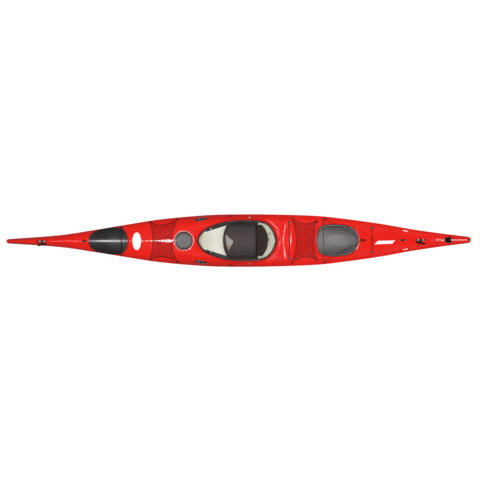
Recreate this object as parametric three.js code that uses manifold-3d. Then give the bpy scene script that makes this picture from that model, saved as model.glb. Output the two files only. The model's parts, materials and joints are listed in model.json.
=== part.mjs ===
// A touring sea kayak, built as its real mouldings and fittings. Millimetres: X runs aft from midships,
// Y to starboard, Z up, with the origin under the middle of the keel.
import * as THREE from "three";
import { mergeVertices } from "three/addons/utils/BufferGeometryUtils.js";
import Module from "manifold-3d";

const wasm = await Module();
wasm.setup();

// Driving sizes of the mouldings
const overallLength = 5170;
const sternPostOut = 11;
const hullBeam = 584;
const hullHeight = 400;
const keelFlat = 100;
const skinWall = 3.5;
const noseSolid = 330;
const tailSolid = 380;
const fitGap = 0.3;
const cutOverrun = 60;
const cordGap = 0.6;

// Cockpit
const cockpitLength = 886;
const cockpitWidth = 456;
const cockpitShift = -23;
const coamingRise = 22;
const coamingLip = 15;
const coamingWall = 5;
const braceTuck = 9;
const moatReach = 42;
const moatDepth = 4;

// Day hatch
const dayHatchRadius = 98;
const dayHatchMargin = 6;
const dayHatchGap = 45;
const dayHatchDepth = 12;
const dayHatchMouth = 74;
const dayHatchLid = 9;
const dayPodDepth = 120;
const dayPodWall = 3;

// Front and rear hatches
const frontHatchLength = 437;
const frontHatchMargin = 13;
const rearHatchLength = 471;
const rearHatchWidth = 358;
const hatchRimWidth = 20;
const hatchRimInset = 10;
const hatchRimDrop = 14;
const hatchLidHeight = 9;
const hatchSkirt = 5;
const frontTipGap = 46;
const rearTipGap = 51;
const tipFittingLength = 40;
const tipFittingWidth = 22;
const tipFittingHeight = 8;

// Deck nets
const netCord = 5;
const frontNetLength = 308;
const frontNetGap = 30;
const frontNetSag = 69;
const frontNetForeSag = 33;
const frontNetPitchX = 49;
const frontNetPitchY = 65;
const rearNetLength = 274;
const rearNetGap = 10;
const rearNetSag = 32;
const rearNetForeSag = 51;
const rearNetPitchX = 61;
const rearNetPitchY = 56;
const netEdge = 7;
const netStrand = 4.5;
const netClearance = 2.6;
const netLug = 9;

// Straps, cords and their anchors
const strapWidth = 13;
const strapThickness = 2;
const strapSetBack = 70;
const anchorLength = 26;
const anchorWidth = 14;
const anchorHeight = 13;
const shockCord = 5;
const cordLockLength = 22;
const cordLockRadius = 7;
const rearCrossSet = 79;
const rearAnchorInboard = 21;

// Paddle parks
const parkGap = 124;
const parkGroove = 34;
const parkGrooveDepth = 7;
const parkFitting = 14;
const parkFittingHeight = 9;
const parkKnob = 8;

// Carrying handles
const bracketLength = 98;
const bracketWidth = 22;
const bracketHeight = 15;
const bracketSlot = 27;
const bracketBase = 3;
const handleBar = 6;
const handleSleeve = 11;
const handleWeb = 14;
const webThickness = 2.5;
const gripLength = 100;
const gripThickness = 20;
const bowGripReach = 41;
const sternGripReach = 33;
const gripYaw = 12;

// Side fittings
const slotPlateLength = 159;
const slotPlateWidth = 33;
const slotPlateThickness = 4;
const slotPlateYaw = 8.4;
const slotPlateInboard = 41;
const sheerFittingLength = 31;
const sheerFittingWidth = 20;
const sheerFittingHeight = 9;
const seatBoltRadius = 14;
const seatBoltHeight = 6;
const seatBoltSet = 91;
const sheerFittingSet = 372;
const slotPlateSet = 43;

// Stern fittings
const smallFittingLength = 71;
const smallFittingWidth = 19;
const smallFittingHeight = 6;
const lineExitLength = 62;
const lineExitWidth = 14;
const parkBlockLength = 69;
const parkBlockWidth = 66;
const parkBlockHeight = 24;
const sternPostWidth = 13;
const sternSlotDepth = 40;
const sternPostRaise = 6;
const loopReach = 60;
const loopWidth = 26;
const sternCord = 4;

// Seat, backrest, thigh braces and footrests
const seatLength = 390;
const seatWidth = 368;
const seatShift = 42;
const seatClear = 22.5;
const seatLiftStep = 0.5;
const seatWall = 4;
const seatSide = 62;
const padForeCurve = 55;
const seatPadThickness = 34;
const hangerWidth = 60;
const hangerThickness = 6;
const backrestHeight = 215;
const backrestLean = 34;
const backrestThickness = 26;
const backrestShell = 4;
const backrestWidth = 350;
const backrestCurve = 55;
const hingeRod = 8;
const braceThickness = 6;
const braceLength = 270;
const braceSet = 92;
const braceReach = 38;
const railLength = 400;
const railHeight = 24;
const railThickness = 12;
const railZ = 105;
const railGap = 150;
const pedalHeight = 100;
const pedalTravelEnd = 60;
const pedalWidth = 74;
const pedalThickness = 10;
const bulkheadThickness = 10;
const frontBulkheadGap = 60;
const rearBulkheadGap = 62;
const seamTapeHeight = 16;
const seamTapeThickness = 1.6;

// Shares of the hull's length from the bow, each with its share of the half beam or of the hull's height
const breadthShares = [[0, 0.035], [0.0012, 0.062], [0.004, 0.085], [0.0144, 0.1], [0.049, 0.133], [0.118, 0.229],
  [0.187, 0.411], [0.256, 0.61], [0.325, 0.801], [0.393, 0.921], [0.462, 0.991], [0.525, 1], [0.6, 0.978],
  [0.669, 0.929], [0.738, 0.795], [0.807, 0.621], [0.876, 0.406], [0.945, 0.229], [0.979, 0.158], [1, 0.113]];
const keelShares = [[0, 0.64], [0.01, 0.45], [0.03, 0.27], [0.06, 0.14], [0.1, 0.07], [0.18, 0.025], [0.32, 0],
  [0.66, 0], [0.78, 0.02], [0.88, 0.06], [0.95, 0.13], [1, 0.28]];
const sheerShares = [[0, 0.78], [0.05, 0.76], [0.15, 0.69], [0.3, 0.6], [0.5, 0.53], [0.7, 0.52], [0.85, 0.56],
  [0.95, 0.62], [1, 0.65]];
const ridgeShares = [[0, 0.82], [0.006, 0.91], [0.02, 0.955], [0.05, 0.945], [0.1, 0.905], [0.2, 0.868],
  [0.3, 0.862], [0.4, 0.86], [0.5, 0.76], [0.585, 0.672], [0.64, 0.64], [0.75, 0.622], [0.85, 0.628],
  [0.93, 0.672], [1, 0.755]];
const crownShares = [[0, 1.12], [0.3, 1.12], [0.38, 2.4], [0.42, 3.6], [0.5, 5], [0.585, 4.6], [0.63, 2.8],
  [0.72, 2.2], [1, 2]];
const bilgeShares = [[0, 1.5], [0.1, 1.5], [0.3, 2], [0.5, 2.4], [0.7, 2.1], [0.9, 1.5], [1, 1.4]];
const stationShares = [0, 0.0012, 0.004, 0.01, 0.022, 0.05, 0.09, 0.135, 0.18, 0.23, 0.28, 0.33, 0.375, 0.415, 0.46,
  0.51, 0.56, 0.605, 0.655, 0.71, 0.765, 0.82, 0.87, 0.915, 0.955, 0.985, 1];
const bilgeTurnShares = [0, 0.25, 0.5, 0.75, 1];
const deckWidthShares = [0.95, 0.85, 0.7, 0.48, 0.24];
const keelFlatShare = 0.3;
const deckEdgeShare = 0.3;
const deckEdgeRoll = 8;
const grooveSpanShare = 0.65;
const discShare = 0.86;
const moatStartShare = 4;
const tapeAboveShare = 0.2;
const netCornerShares = { frontFore: 0.9, frontAft: 0.93, rearFore: 0.88, rearAft: 0.84 };
const netSideShare = 0.2;
const netSideSteps = 6;
const netEndSteps = 10;
const netRows = 14;
const parkShares = { fore: 0.718, aft: 0.675 };
const fittingTopShare = 0.7;
const gripShares = [[0, 0], [0, 0.7], [0.06, 0.95], [0.5, 1], [0.94, 0.95], [1, 0.7], [1, 0]];
const restSteps = 10;
const outlineSteps = { cockpit: 30, hatch: 22, well: 20, disc: 10, cord: 9, loop: 12 };
const lineExitShare = 0.77;
const lineExitYaw = 12;
const seatShares = [[0.62, 0], [0.84, 0.12], [0.95, 0.4], [1, 0.75], [1, 1]];
const seatFrontShare = 0.45;
const padWidthShare = 0.93;
const padEdgeShare = 0.3;
const hangerLowShare = 0.35;
const backrestEndShare = 0.4;
const sleeveShare = 0.5;
const backrestSteps = { along: 5, across: 12 };
const pedalRiseShare = 0.12;

// Half outlines as shares of a length, from the fore end, and of a half width
const cockpitShares = [[0, 0], [0.012, 0.17], [0.047, 0.39], [0.116, 0.6], [0.184, 0.715], [0.252, 0.822],
  [0.321, 0.893], [0.388, 0.943], [0.5, 0.985], [0.591, 1], [0.7, 0.993], [0.796, 0.955], [0.863, 0.872],
  [0.92, 0.706], [0.965, 0.45], [0.99, 0.2], [1, 0]];
const frontHatchShares = [[0, 0], [0.02, 0.24], [0.06, 0.48], [0.18, 0.745], [0.375, 0.905], [0.636, 1],
  [0.828, 0.945], [0.934, 0.71], [0.982, 0.36], [1, 0]];
const rearHatchShares = [[0, 0], [0.012, 0.36], [0.06, 0.74], [0.168, 0.933], [0.3, 0.985], [0.433, 1],
  [0.6, 0.97], [0.722, 0.922], [0.83, 0.81], [0.915, 0.62], [0.975, 0.32], [1, 0]];

// How the free deck ahead of and behind the cockpit is shared out between its pieces
const foreGapShares = { net: 0.2485, hatch: 0.4 };
const aftGapShares = { park: 0.068, fitting: 0.325, handle: 0.123, block: 0.242 };

const bowX = -overallLength / 2;
const sternX = overallLength / 2 - sternPostOut;
const hullLength = sternX - bowX;
const farReach = overallLength;

const colours = {
  gelcoat: { color: 0xc01a22, roughness: 0.18, metalness: 0 },
  black: { color: 0x1b1b1d, roughness: 0.5, metalness: 0 },
  rubber: { color: 0x3a3b40, roughness: 0.6, metalness: 0 },
  grey: { color: 0x8d8f94, roughness: 0.45, metalness: 0 },
  steel: { color: 0xc4c6c8, roughness: 0.3, metalness: 1 },
  laminate: { color: 0xd9cfb4, roughness: 0.6, metalness: 0 },
  fabric: { color: 0x3c3c3e, roughness: 0.95, metalness: 0 },
};

const kayak = new THREE.Group();

function addPart(name, finish, solid) {
  const mesh = new THREE.Mesh(geometryOf(solid), new THREE.MeshStandardMaterial(colours[finish]));
  mesh.name = name;
  kayak.add(mesh);
  return mesh;
}

function geometryOf(solid) {
  const { vertProperties, triVerts, numProp } = solid.getMesh();
  const geometry = new THREE.BufferGeometry();
  geometry.setAttribute("position", new THREE.BufferAttribute(vertProperties, numProp));
  geometry.setIndex(new THREE.BufferAttribute(triVerts, 1));
  geometry.computeVertexNormals();
  return geometry;
}

function solidOf(geometry) {
  const bare = geometry.clone();
  bare.deleteAttribute("normal");
  bare.deleteAttribute("uv");
  const merged = mergeVertices(bare);
  const vertProperties = new Float32Array(merged.attributes.position.array);
  const triVerts = new Uint32Array(merged.index.array);
  return new wasm.Manifold(new wasm.Mesh({ numProp: 3, vertProperties, triVerts }));
}

// A smooth curve through [place, value] pairs that never overshoots them
function curveThrough(points) {
  const rise = (i) => (points[i + 1][1] - points[i][1]) / (points[i + 1][0] - points[i][0]);
  const slopes = points.map((_, i) => {
    if (i === 0) return rise(0);
    if (i === points.length - 1) return rise(i - 1);
    const before = rise(i - 1);
    const after = rise(i);
    return before * after <= 0 ? 0 : (2 * before * after) / (before + after);
  });
  return (at) => {
    const last = points.length - 2;
    const found = points.findIndex((point, i) => i <= last && at <= points[i + 1][0]);
    const i = found < 0 ? last : found;
    const width = points[i + 1][0] - points[i][0];
    const t = THREE.MathUtils.clamp((at - points[i][0]) / width, 0, 1);
    const start = points[i][1] * (1 + 2 * t) * (1 - t) ** 2 + slopes[i] * width * t * (1 - t) ** 2;
    const end = points[i + 1][1] * t ** 2 * (3 - 2 * t) - slopes[i + 1] * width * t ** 2 * (1 - t);
    return start + end;
  };
}

const breadthAt = curveThrough(breadthShares);
const keelAt = curveThrough(keelShares);
const sheerAt = curveThrough(sheerShares);
const ridgeAt = curveThrough(ridgeShares);
const crownAt = curveThrough(crownShares);
const bilgeAt = curveThrough(bilgeShares);

// Moves each point of a closed outline out along its corner, or in for a negative distance
function growOutline(points, distance) {
  const count = points.length;
  const edgeNormal = (from, to) => new THREE.Vector2(to[1] - from[1], from[0] - to[0]).normalize();
  return points.map((point, i) => {
    const before = edgeNormal(points[(i + count - 1) % count], point);
    const after = edgeNormal(point, points[(i + 1) % count]);
    const corner = before.clone().add(after).normalize();
    const stretch = distance / Math.max(corner.dot(after), 0.5);
    return [point[0] + corner.x * stretch, point[1] + corner.y * stretch];
  });
}

// Cross section at a share of the length: from the keel up the starboard side, over the deck and down to port
function sectionAt(share) {
  const halfBeam = (hullBeam / 2) * breadthAt(share);
  const keel = hullHeight * keelAt(share);
  const sheer = hullHeight * sheerAt(share);
  const ridge = hullHeight * ridgeAt(share);
  const keelHalf = Math.min(keelFlat / 2, halfBeam * keelFlatShare);
  const fullness = 2 / bilgeAt(share);
  const crown = crownAt(share);
  const side = bilgeTurnShares.map((turn) => {
    const angle = (turn * Math.PI) / 2;
    const up = turn === 1 ? 1 : 1 - Math.cos(angle) ** fullness;
    return [keelHalf + (halfBeam - keelHalf) * Math.sin(angle) ** fullness, keel + (sheer - keel) * up];
  });
  const deck = deckWidthShares.map((width) => {
    const rise = (1 - deckEdgeShare) * (1 - width ** crown) + deckEdgeShare * (1 - width ** deckEdgeRoll);
    return [halfBeam * width, sheer + (ridge - sheer) * rise];
  });
  const starboard = [...side, ...deck];
  const port = starboard.map(([y, z]) => [-y, z]).reverse();
  return [...starboard, [0, ridge], ...port];
}

const stations = stationShares.map((share) => bowX + hullLength * share);
const sheerIndex = bilgeTurnShares.length - 1;
const sectionSets = new Map();

function sectionsFor(offset) {
  if (!sectionSets.has(offset)) {
    sectionSets.set(offset, stationShares.map((share) => growOutline(sectionAt(share), offset)));
  }
  return sectionSets.get(offset);
}

function mixPoints(first, second, share) {
  return first.map(([a, b], i) => [
    THREE.MathUtils.lerp(a, second[i][0], share),
    THREE.MathUtils.lerp(b, second[i][1], share),
  ]);
}

function sectionNear(x, offset) {
  const last = stations.length - 2;
  const found = stations.findIndex((_, i) => i <= last && x <= stations[i + 1]);
  const i = found < 0 ? last : found;
  const share = THREE.MathUtils.clamp((x - stations[i]) / (stations[i + 1] - stations[i]), 0, 1);
  const sections = sectionsFor(offset);
  return mixPoints(sections[i], sections[i + 1], share);
}

function stationsBetween(fore, aft) {
  return [fore, ...stations.filter((x) => x > fore && x < aft), aft];
}

// Joins cross sections, each a list of [y, z] at its x, into one closed solid whose two sides mirror each other
function loft(places, sections) {
  const count = sections[0].length;
  const positions = sections.flatMap((section, i) => section.flatMap(([y, z]) => [places[i], y, z]));
  const faces = [];
  for (let i = 0; i < sections.length - 1; i += 1) {
    for (let j = 0; j < count; j += 1) {
      const a = i * count + j;
      const b = i * count + ((j + 1) % count);
      const portSide = j >= Math.floor(count / 2);
      faces.push(a, b, portSide ? a + count : b + count);
      faces.push(portSide ? b : a, b + count, a + count);
    }
  }
  const lastRing = (sections.length - 1) * count;
  const capOf = (section) => THREE.ShapeUtils.triangulateShape(section.map(([y, z]) => new THREE.Vector2(y, z)), []);
  capOf(sections[0]).forEach(([a, b, c]) => faces.push(c, b, a));
  capOf(sections[sections.length - 1]).forEach(([a, b, c]) => faces.push(a + lastRing, b + lastRing, c + lastRing));
  const geometry = new THREE.BufferGeometry();
  geometry.setAttribute("position", new THREE.Float32BufferAttribute(positions, 3));
  geometry.setIndex(faces);
  return solidOf(geometry);
}

const wholeBodies = new Map();

// The hull and deck together as one solid, grown by an offset, or shrunk by one between its solid ends
function bodyAt(offset) {
  if (!wholeBodies.has(offset)) {
    const places = offset < 0 ? stationsBetween(bowX + noseSolid, sternX - tailSolid) : stations;
    wholeBodies.set(offset, loft(places, places.map((x) => sectionNear(x, offset))));
  }
  return wholeBodies.get(offset);
}

function skinBetween(low, high) {
  return bodyAt(high).subtract(bodyAt(low));
}

function loweredBody(offset, drop) {
  return bodyAt(offset).translate(0, 0, -drop);
}

// Everything below the sheer, moved up or down by a rise
function belowSheer(rise) {
  const sections = sectionsFor(0).map((section) => {
    const top = section[sheerIndex][1] + rise;
    return [[-farReach, -farReach], [farReach, -farReach], [farReach, top], [-farReach, top]];
  });
  return loft(stations, sections);
}

function deckHeight(x, y, offset = 0) {
  const deck = sectionNear(x, offset).slice(sheerIndex);
  const i = deck.findIndex((point, k) => k > 0 && point[0] <= y) - 1;
  const place = i < 0 ? 0 : i;
  const share = (y - deck[place][0]) / (deck[place + 1][0] - deck[place][0]);
  return THREE.MathUtils.lerp(deck[place][1], deck[place + 1][1], share);
}

function sheerHalf(x) {
  return sectionNear(x, 0)[sheerIndex][0];
}

function sheerLevel(x) {
  return sectionNear(x, 0)[sheerIndex][1];
}

// Half breadth inside the hull skin at a height
function insideHalf(x, z, offset = -skinWall) {
  const side = sectionNear(x, offset).slice(0, sheerIndex + 1);
  const i = Math.max(side.findIndex((point) => point[1] >= z), 1);
  const share = THREE.MathUtils.clamp((z - side[i - 1][1]) / (side[i][1] - side[i - 1][1]), 0, 1);
  return THREE.MathUtils.lerp(side[i - 1][0], side[i][0], share);
}

function shapeOf(points, holes = []) {
  const shape = new THREE.Shape(points.map(([x, y]) => new THREE.Vector2(x, y)));
  holes.forEach((hole) => shape.holes.push(new THREE.Path(hole.map(([x, y]) => new THREE.Vector2(x, y)))));
  return shape;
}

// An upright prism over a plan outline
function prism(points, low = -cutOverrun, high = hullHeight * 2, holes = []) {
  const geometry = new THREE.ExtrudeGeometry(shapeOf(points, holes), { depth: high - low, bevelEnabled: false });
  return solidOf(geometry.translate(0, 0, low));
}

function box(fore, aft, port, starboard, low, high) {
  const geometry = new THREE.BoxGeometry(aft - fore, starboard - port, high - low);
  return solidOf(geometry.translate((fore + aft) / 2, (port + starboard) / 2, (low + high) / 2));
}

// A closed plan outline from half outline shares, smooth between them, from a fore end along a length
function outlineFrom(shares, fore, length, halfWidth, pointCount) {
  const half = shares.map(([along, across]) => new THREE.Vector3(fore + length * along, halfWidth * across, 0));
  const mirrored = half.slice(1, -1).reverse().map((point) => new THREE.Vector3(point.x, -point.y, 0));
  const curve = new THREE.CatmullRomCurve3([...half, ...mirrored], true, "centripetal");
  return curve.getSpacedPoints(pointCount).slice(0, -1).map((point) => [point.x, point.y]).reverse();
}

function slotOutline(length, width, sides = 6) {
  const straight = length / 2 - width / 2;
  const turn = (k) => -Math.PI / 2 + (Math.PI * k) / sides;
  const corner = (k) => [straight + (Math.cos(turn(k)) * width) / 2, (Math.sin(turn(k)) * width) / 2];
  const aft = Array.from({ length: sides + 1 }, (_, k) => corner(k));
  return [...aft, ...aft.map(([x, y]) => [-x, -y])];
}

function roundOutline(radius, sides) {
  return Array.from({ length: sides }, (_, k) => {
    const angle = (2 * Math.PI * k) / sides;
    return [Math.cos(angle) * radius, Math.sin(angle) * radius];
  });
}

function placeOutline(points, x, y, yaw = 0) {
  const turn = THREE.MathUtils.degToRad(yaw);
  return points.map(([a, b]) => [
    x + a * Math.cos(turn) - b * Math.sin(turn),
    y + a * Math.sin(turn) + b * Math.cos(turn),
  ]);
}

// A plate or block that follows the deck, between two heights over it
function deckBlock(outline, low, high) {
  return prism(outline).intersect(skinBetween(low, high)).intersect(aboveSheer);
}

// A tube along a smooth line through its points
function cordAlong(points, diameter, steps, sides = 8) {
  const curve = new THREE.CatmullRomCurve3(points.map(([x, y, z]) => new THREE.Vector3(x, y, z)), false, "centripetal");
  const section = shapeOf(roundOutline(diameter / 2, sides));
  return solidOf(new THREE.ExtrudeGeometry(section, { steps, bevelEnabled: false, extrudePath: curve }));
}

// A line across the deck, as points at one height over it
function lineOverDeck(from, to, height, count) {
  return Array.from({ length: count + 1 }, (_, k) => {
    const x = THREE.MathUtils.lerp(from[0], to[0], k / count);
    const y = THREE.MathUtils.lerp(from[1], to[1], k / count);
    return [x, y, deckHeight(x, y, height)];
  });
}

function turned(profile, sides) {
  const points = profile.map(([radius, height]) => new THREE.Vector2(radius, height));
  return solidOf(new THREE.LatheGeometry(points, sides).rotateX(Math.PI / 2));
}

// Stands a turned or extruded solid on the deck at a place, square to the deck there
function standOnDeck(solid, x, y) {
  const step = skinWall;
  const alongX = new THREE.Vector3(step * 2, 0, deckHeight(x + step, y) - deckHeight(x - step, y)).normalize();
  const alongY = new THREE.Vector3(0, step * 2, deckHeight(x, y + step) - deckHeight(x, y - step)).normalize();
  const up = alongX.clone().cross(alongY).normalize();
  const across = up.clone().cross(alongX);
  const place = new THREE.Vector3(x, y, deckHeight(x, y)).addScaledVector(up, fitGap);
  const matrix = new THREE.Matrix4().makeBasis(alongX, across, up).setPosition(place);
  return solid.transform(matrix.elements);
}

function mirrored(solid) {
  return solid.mirror([0, 1, 0]);
}

function addPair(name, finish, starboard) {
  addPart(`${name}_starboard`, finish, starboard);
  addPart(`${name}_port`, finish, mirrored(starboard));
}

const aboveSheer = loft(stations, sectionsFor(0).map((section) => {
  const low = section[sheerIndex][1] + fitGap / 2;
  return [[-farReach, low], [farReach, low], [farReach, farReach], [-farReach, farReach]];
}));

// Places along the deck, from the cockpit out to both ends
const cockpitFore = cockpitShift - cockpitLength / 2;
const cockpitAft = cockpitShift + cockpitLength / 2;
const dayWellRadius = dayHatchRadius + dayHatchMargin;
const dayHatchX = cockpitFore - dayHatchGap - dayWellRadius;
const frontNetAft = dayHatchX - dayWellRadius - frontNetGap + frontNetSag;
const frontNetFore = frontNetAft - frontNetLength;
const foreDeckFree = frontNetFore - bowX - frontHatchLength - frontTipGap - tipFittingLength / 2 - bracketLength;
const frontHatchAft = frontNetFore - foreDeckFree * foreGapShares.net;
const frontHatchFore = frontHatchAft - frontHatchLength;
const frontTipX = frontHatchFore - frontTipGap;
const bowHandleX = frontTipX - tipFittingLength / 2 - foreDeckFree * foreGapShares.hatch - bracketLength / 2;
const foreParkX = cockpitAft + parkGap + parkGroove / 2;
const rearNetFore = foreParkX + parkGroove / 2 + rearNetGap;
const rearNetAft = rearNetFore + rearNetLength;
const rearHatchFore = rearNetAft;
const rearHatchAft = rearHatchFore + rearHatchLength;
const rearTipX = rearHatchAft + rearTipGap;
const aftDeckPieces = smallFittingLength + bracketLength + parkBlockLength + parkFitting * 2;
const aftDeckFree = sternX - rearTipX - tipFittingLength / 2 - aftDeckPieces;
const aftParkX = rearTipX + tipFittingLength / 2 + aftDeckFree * aftGapShares.park + parkFitting;
const smallFittingX = aftParkX + parkFitting + aftDeckFree * aftGapShares.fitting + smallFittingLength / 2;
const sternHandleX = smallFittingX + (smallFittingLength + bracketLength) / 2 + aftDeckFree * aftGapShares.handle;
const parkBlockX = sternHandleX + (bracketLength + parkBlockLength) / 2 + aftDeckFree * aftGapShares.block;

const cockpitOutline = outlineFrom(cockpitShares, cockpitFore, cockpitLength, cockpitWidth / 2, outlineSteps.cockpit);
const riserOutline = growOutline(cockpitOutline, -coamingLip);
const mouthOutline = growOutline(riserOutline, -coamingWall);
const frontHatchHalf = sheerHalf(frontHatchFore + frontHatchLength * frontHatchShares[5][0]) - frontHatchMargin;
const frontHatchOutline = outlineFrom(frontHatchShares, frontHatchFore, frontHatchLength, frontHatchHalf, outlineSteps.hatch);
const rearHatchOutline = outlineFrom(rearHatchShares, rearHatchFore, rearHatchLength, rearHatchWidth / 2, outlineSteps.hatch);
const dayWellFloor = deckHeight(dayHatchX, 0) - dayHatchDepth;

// The hull and deck mouldings

// A shallow sunk place that follows the deck: what it takes from the outside, and from the hollow behind it
function sunkPlace(place, widerPlace, depth) {
  return {
    cut: place.subtract(loweredBody(0, depth)),
    backing: widerPlace.subtract(loweredBody(-skinWall, depth)),
  };
}

function dayWell() {
  const outline = (radius) => placeOutline(roundOutline(radius, outlineSteps.well), dayHatchX, 0);
  return {
    cut: prism(outline(dayWellRadius), dayWellFloor),
    backing: prism(outline(dayWellRadius + skinWall), dayWellFloor - skinWall),
  };
}

// The sunk way round the back of the cockpit rim
function moat() {
  const outline = growOutline(cockpitOutline, moatReach);
  const start = cockpitAft - moatReach * moatStartShare;
  const behind = box(start, farReach, -farReach, farReach, 0, farReach);
  const wider = box(start - skinWall, farReach, -farReach, farReach, 0, farReach);
  return sunkPlace(
    prism(outline).intersect(behind),
    prism(growOutline(outline, skinWall)).intersect(wider),
    moatDepth,
  );
}

function parkGroovePlace() {
  const span = sheerHalf(foreParkX) * grooveSpanShare * 2;
  const outline = placeOutline(slotOutline(span, parkGroove), foreParkX, 0, 90);
  return sunkPlace(prism(outline), prism(growOutline(outline, skinWall)), parkGrooveDepth);
}

const sunkPlaces = [dayWell(), moat(), parkGroovePlace()];

function hollow() {
  return sunkPlaces.reduce((left, place) => left.subtract(place.backing), bodyAt(-skinWall));
}

const hullHollow = hollow();
const rimCut = (outline) => prism(growOutline(outline, fitGap - hatchRimInset));

function sternSlot() {
  const half = sternPostWidth / 2 + fitGap;
  return box(sternX - sternSlotDepth, sternX + cutOverrun, -half, half, -cutOverrun, farReach);
}

function mouldings() {
  const whole = bodyAt(0).subtract(hullHollow).subtract(sternSlot());
  const deckOpenings = [
    prism(growOutline(riserOutline, fitGap)),
    rimCut(frontHatchOutline),
    rimCut(rearHatchOutline),
    prism(placeOutline(roundOutline(dayHatchMouth + dayPodWall + fitGap, outlineSteps.well), dayHatchX, 0)),
  ];
  const sunk = sunkPlaces.reduce((left, place) => left.subtract(place.cut), whole);
  const deck = deckOpenings.reduce((left, opening) => left.subtract(opening), sunk.intersect(aboveSheer));
  addPart("hull_shell", "gelcoat", whole.intersect(belowSheer(-fitGap / 2)));
  addPart("deck_shell", "gelcoat", deck);
}

function seamTape() {
  const band = belowSheer(seamTapeHeight * tapeAboveShare).subtract(belowSheer(-seamTapeHeight));
  const reach = box(bowX + noseSolid / 2, sternX - noseSolid / 2, 0, farReach, 0, farReach);
  addPair("seam_tape", "gelcoat", skinBetween(fitGap, fitGap + seamTapeThickness).intersect(band).intersect(reach));
}

// The cockpit rim: a wall up from the opening and a lip that a spray cover grips

function coamingTop(x) {
  const share = (x - cockpitFore) / cockpitLength;
  const fore = deckHeight(cockpitFore, 0) + coamingRise;
  const aft = deckHeight(cockpitAft, 0) + coamingRise;
  return THREE.MathUtils.lerp(fore, aft, share);
}

function underCoamingTop(drop) {
  const places = [cockpitFore - moatReach, cockpitAft + moatReach];
  const sections = places.map((x) => {
    const top = coamingTop(x) - drop;
    return [[-farReach, -farReach], [farReach, -farReach], [farReach, top], [-farReach, top]];
  });
  return loft(places, sections);
}

function cockpitCoaming() {
  const under = underCoamingTop(0);
  const mouth = prism(mouthOutline);
  const ring = prism(riserOutline).subtract(mouth).intersect(aboveSheer);
  const wall = ring.subtract(bodyAt(-skinWall)).intersect(under);
  const lip = prism(cockpitOutline).subtract(mouth).intersect(under).subtract(underCoamingTop(coamingWall));
  addPart("cockpit_coaming", "black", wall.add(lip));
}

// Hatches

// A collar bonded into the opening, standing a little proud of the deck
function hatchRim(outline) {
  const collar = prism(growOutline(outline, -hatchRimInset)).subtract(prism(growOutline(outline, -hatchRimWidth)));
  return collar.intersect(bodyAt(hatchLidHeight / 3)).subtract(loweredBody(0, hatchRimDrop)).intersect(aboveSheer);
}

function hatchLid(outline) {
  const top = deckBlock(outline, hatchLidHeight / 3 + fitGap, hatchLidHeight);
  const skirt = deckBlock(outline, fitGap, hatchLidHeight);
  return top.add(skirt.subtract(prism(growOutline(outline, -hatchSkirt))));
}

function tipFitting(x) {
  const outline = placeOutline(slotOutline(tipFittingLength, tipFittingWidth), x, 0);
  return deckBlock(outline, fitGap, tipFittingHeight);
}

function frontHatch() {
  const strapX = frontHatchAft - strapSetBack;
  const anchorY = sheerHalf(strapX) - anchorWidth / 2 - seamTapeThickness * 2;
  const lidTop = hatchLidHeight + fitGap;
  const strapHalf = anchorY - anchorWidth / 2 - fitGap;
  const strapEdges = [strapX - strapWidth / 2, strapX + strapWidth / 2];
  const strapOutline = [[strapEdges[0], -strapHalf], [strapEdges[1], -strapHalf],
    [strapEdges[1], strapHalf], [strapEdges[0], strapHalf]];
  const anchorOutline = placeOutline(slotOutline(anchorLength, anchorWidth, 4), strapX, anchorY);
  addPart("front_hatch_rim", "black", hatchRim(frontHatchOutline));
  addPart("front_hatch_cover", "rubber", hatchLid(frontHatchOutline));
  addPart("front_hatch_strap", "black", deckBlock(strapOutline, lidTop, lidTop + strapThickness));
  addPair("front_strap_anchor", "black", deckBlock(anchorOutline, fitGap, anchorHeight));
  addPart("front_tip_fitting", "grey", tipFitting(frontTipX));
}

function rearHatch() {
  const crossX = rearHatchFore + rearCrossSet;
  const anchorX = crossX + anchorWidth;
  const anchorY = sheerHalf(anchorX) - rearAnchorInboard;
  const height = hatchLidHeight + cordGap + shockCord / 2;
  const reach = anchorY - anchorWidth / 2 - cordGap;
  const anchorOutline = placeOutline(slotOutline(anchorLength + fitGap, anchorWidth * 1.6, 4), anchorX, anchorY);
  const inner = anchorY - anchorWidth * 0.8 - cordGap;
  const tipEdge = rearTipX - tipFittingLength / 2 - shockCord;
  const cross = lineOverDeck([crossX, -inner], [crossX, inner], height, 16);
  const side = lineOverDeck([anchorX + anchorLength / 2, inner], [tipEdge, shockCord], height, 16);
  const lockAt = side[10];
  const lock = new THREE.SphereGeometry(cordLockRadius, 8, 6).scale(cordLockLength / cordLockRadius / 2, 1, 1);
  const lockTurn = Math.atan2(shockCord - reach, tipEdge - anchorX);
  lock.rotateZ(lockTurn).translate(lockAt[0], lockAt[1], lockAt[2] + cordLockRadius - shockCord / 2);
  const starboardCord = cordAlong(side, shockCord, outlineSteps.cord);
  addPart("rear_hatch_rim", "black", hatchRim(rearHatchOutline));
  addPart("rear_hatch_cover", "rubber", hatchLid(rearHatchOutline));
  addPart("rear_hatch_cross_cord", "black", cordAlong(cross, shockCord, outlineSteps.cord));
  addPart("rear_hatch_cord_starboard", "black", starboardCord);
  addPart("rear_hatch_cord_port", "black", mirrored(starboardCord.add(solidOf(lock))));
  addPair("rear_strap_anchor", "black", deckBlock(anchorOutline, fitGap, anchorHeight));
  addPart("rear_tip_fitting", "grey", tipFitting(rearTipX));
}

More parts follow.
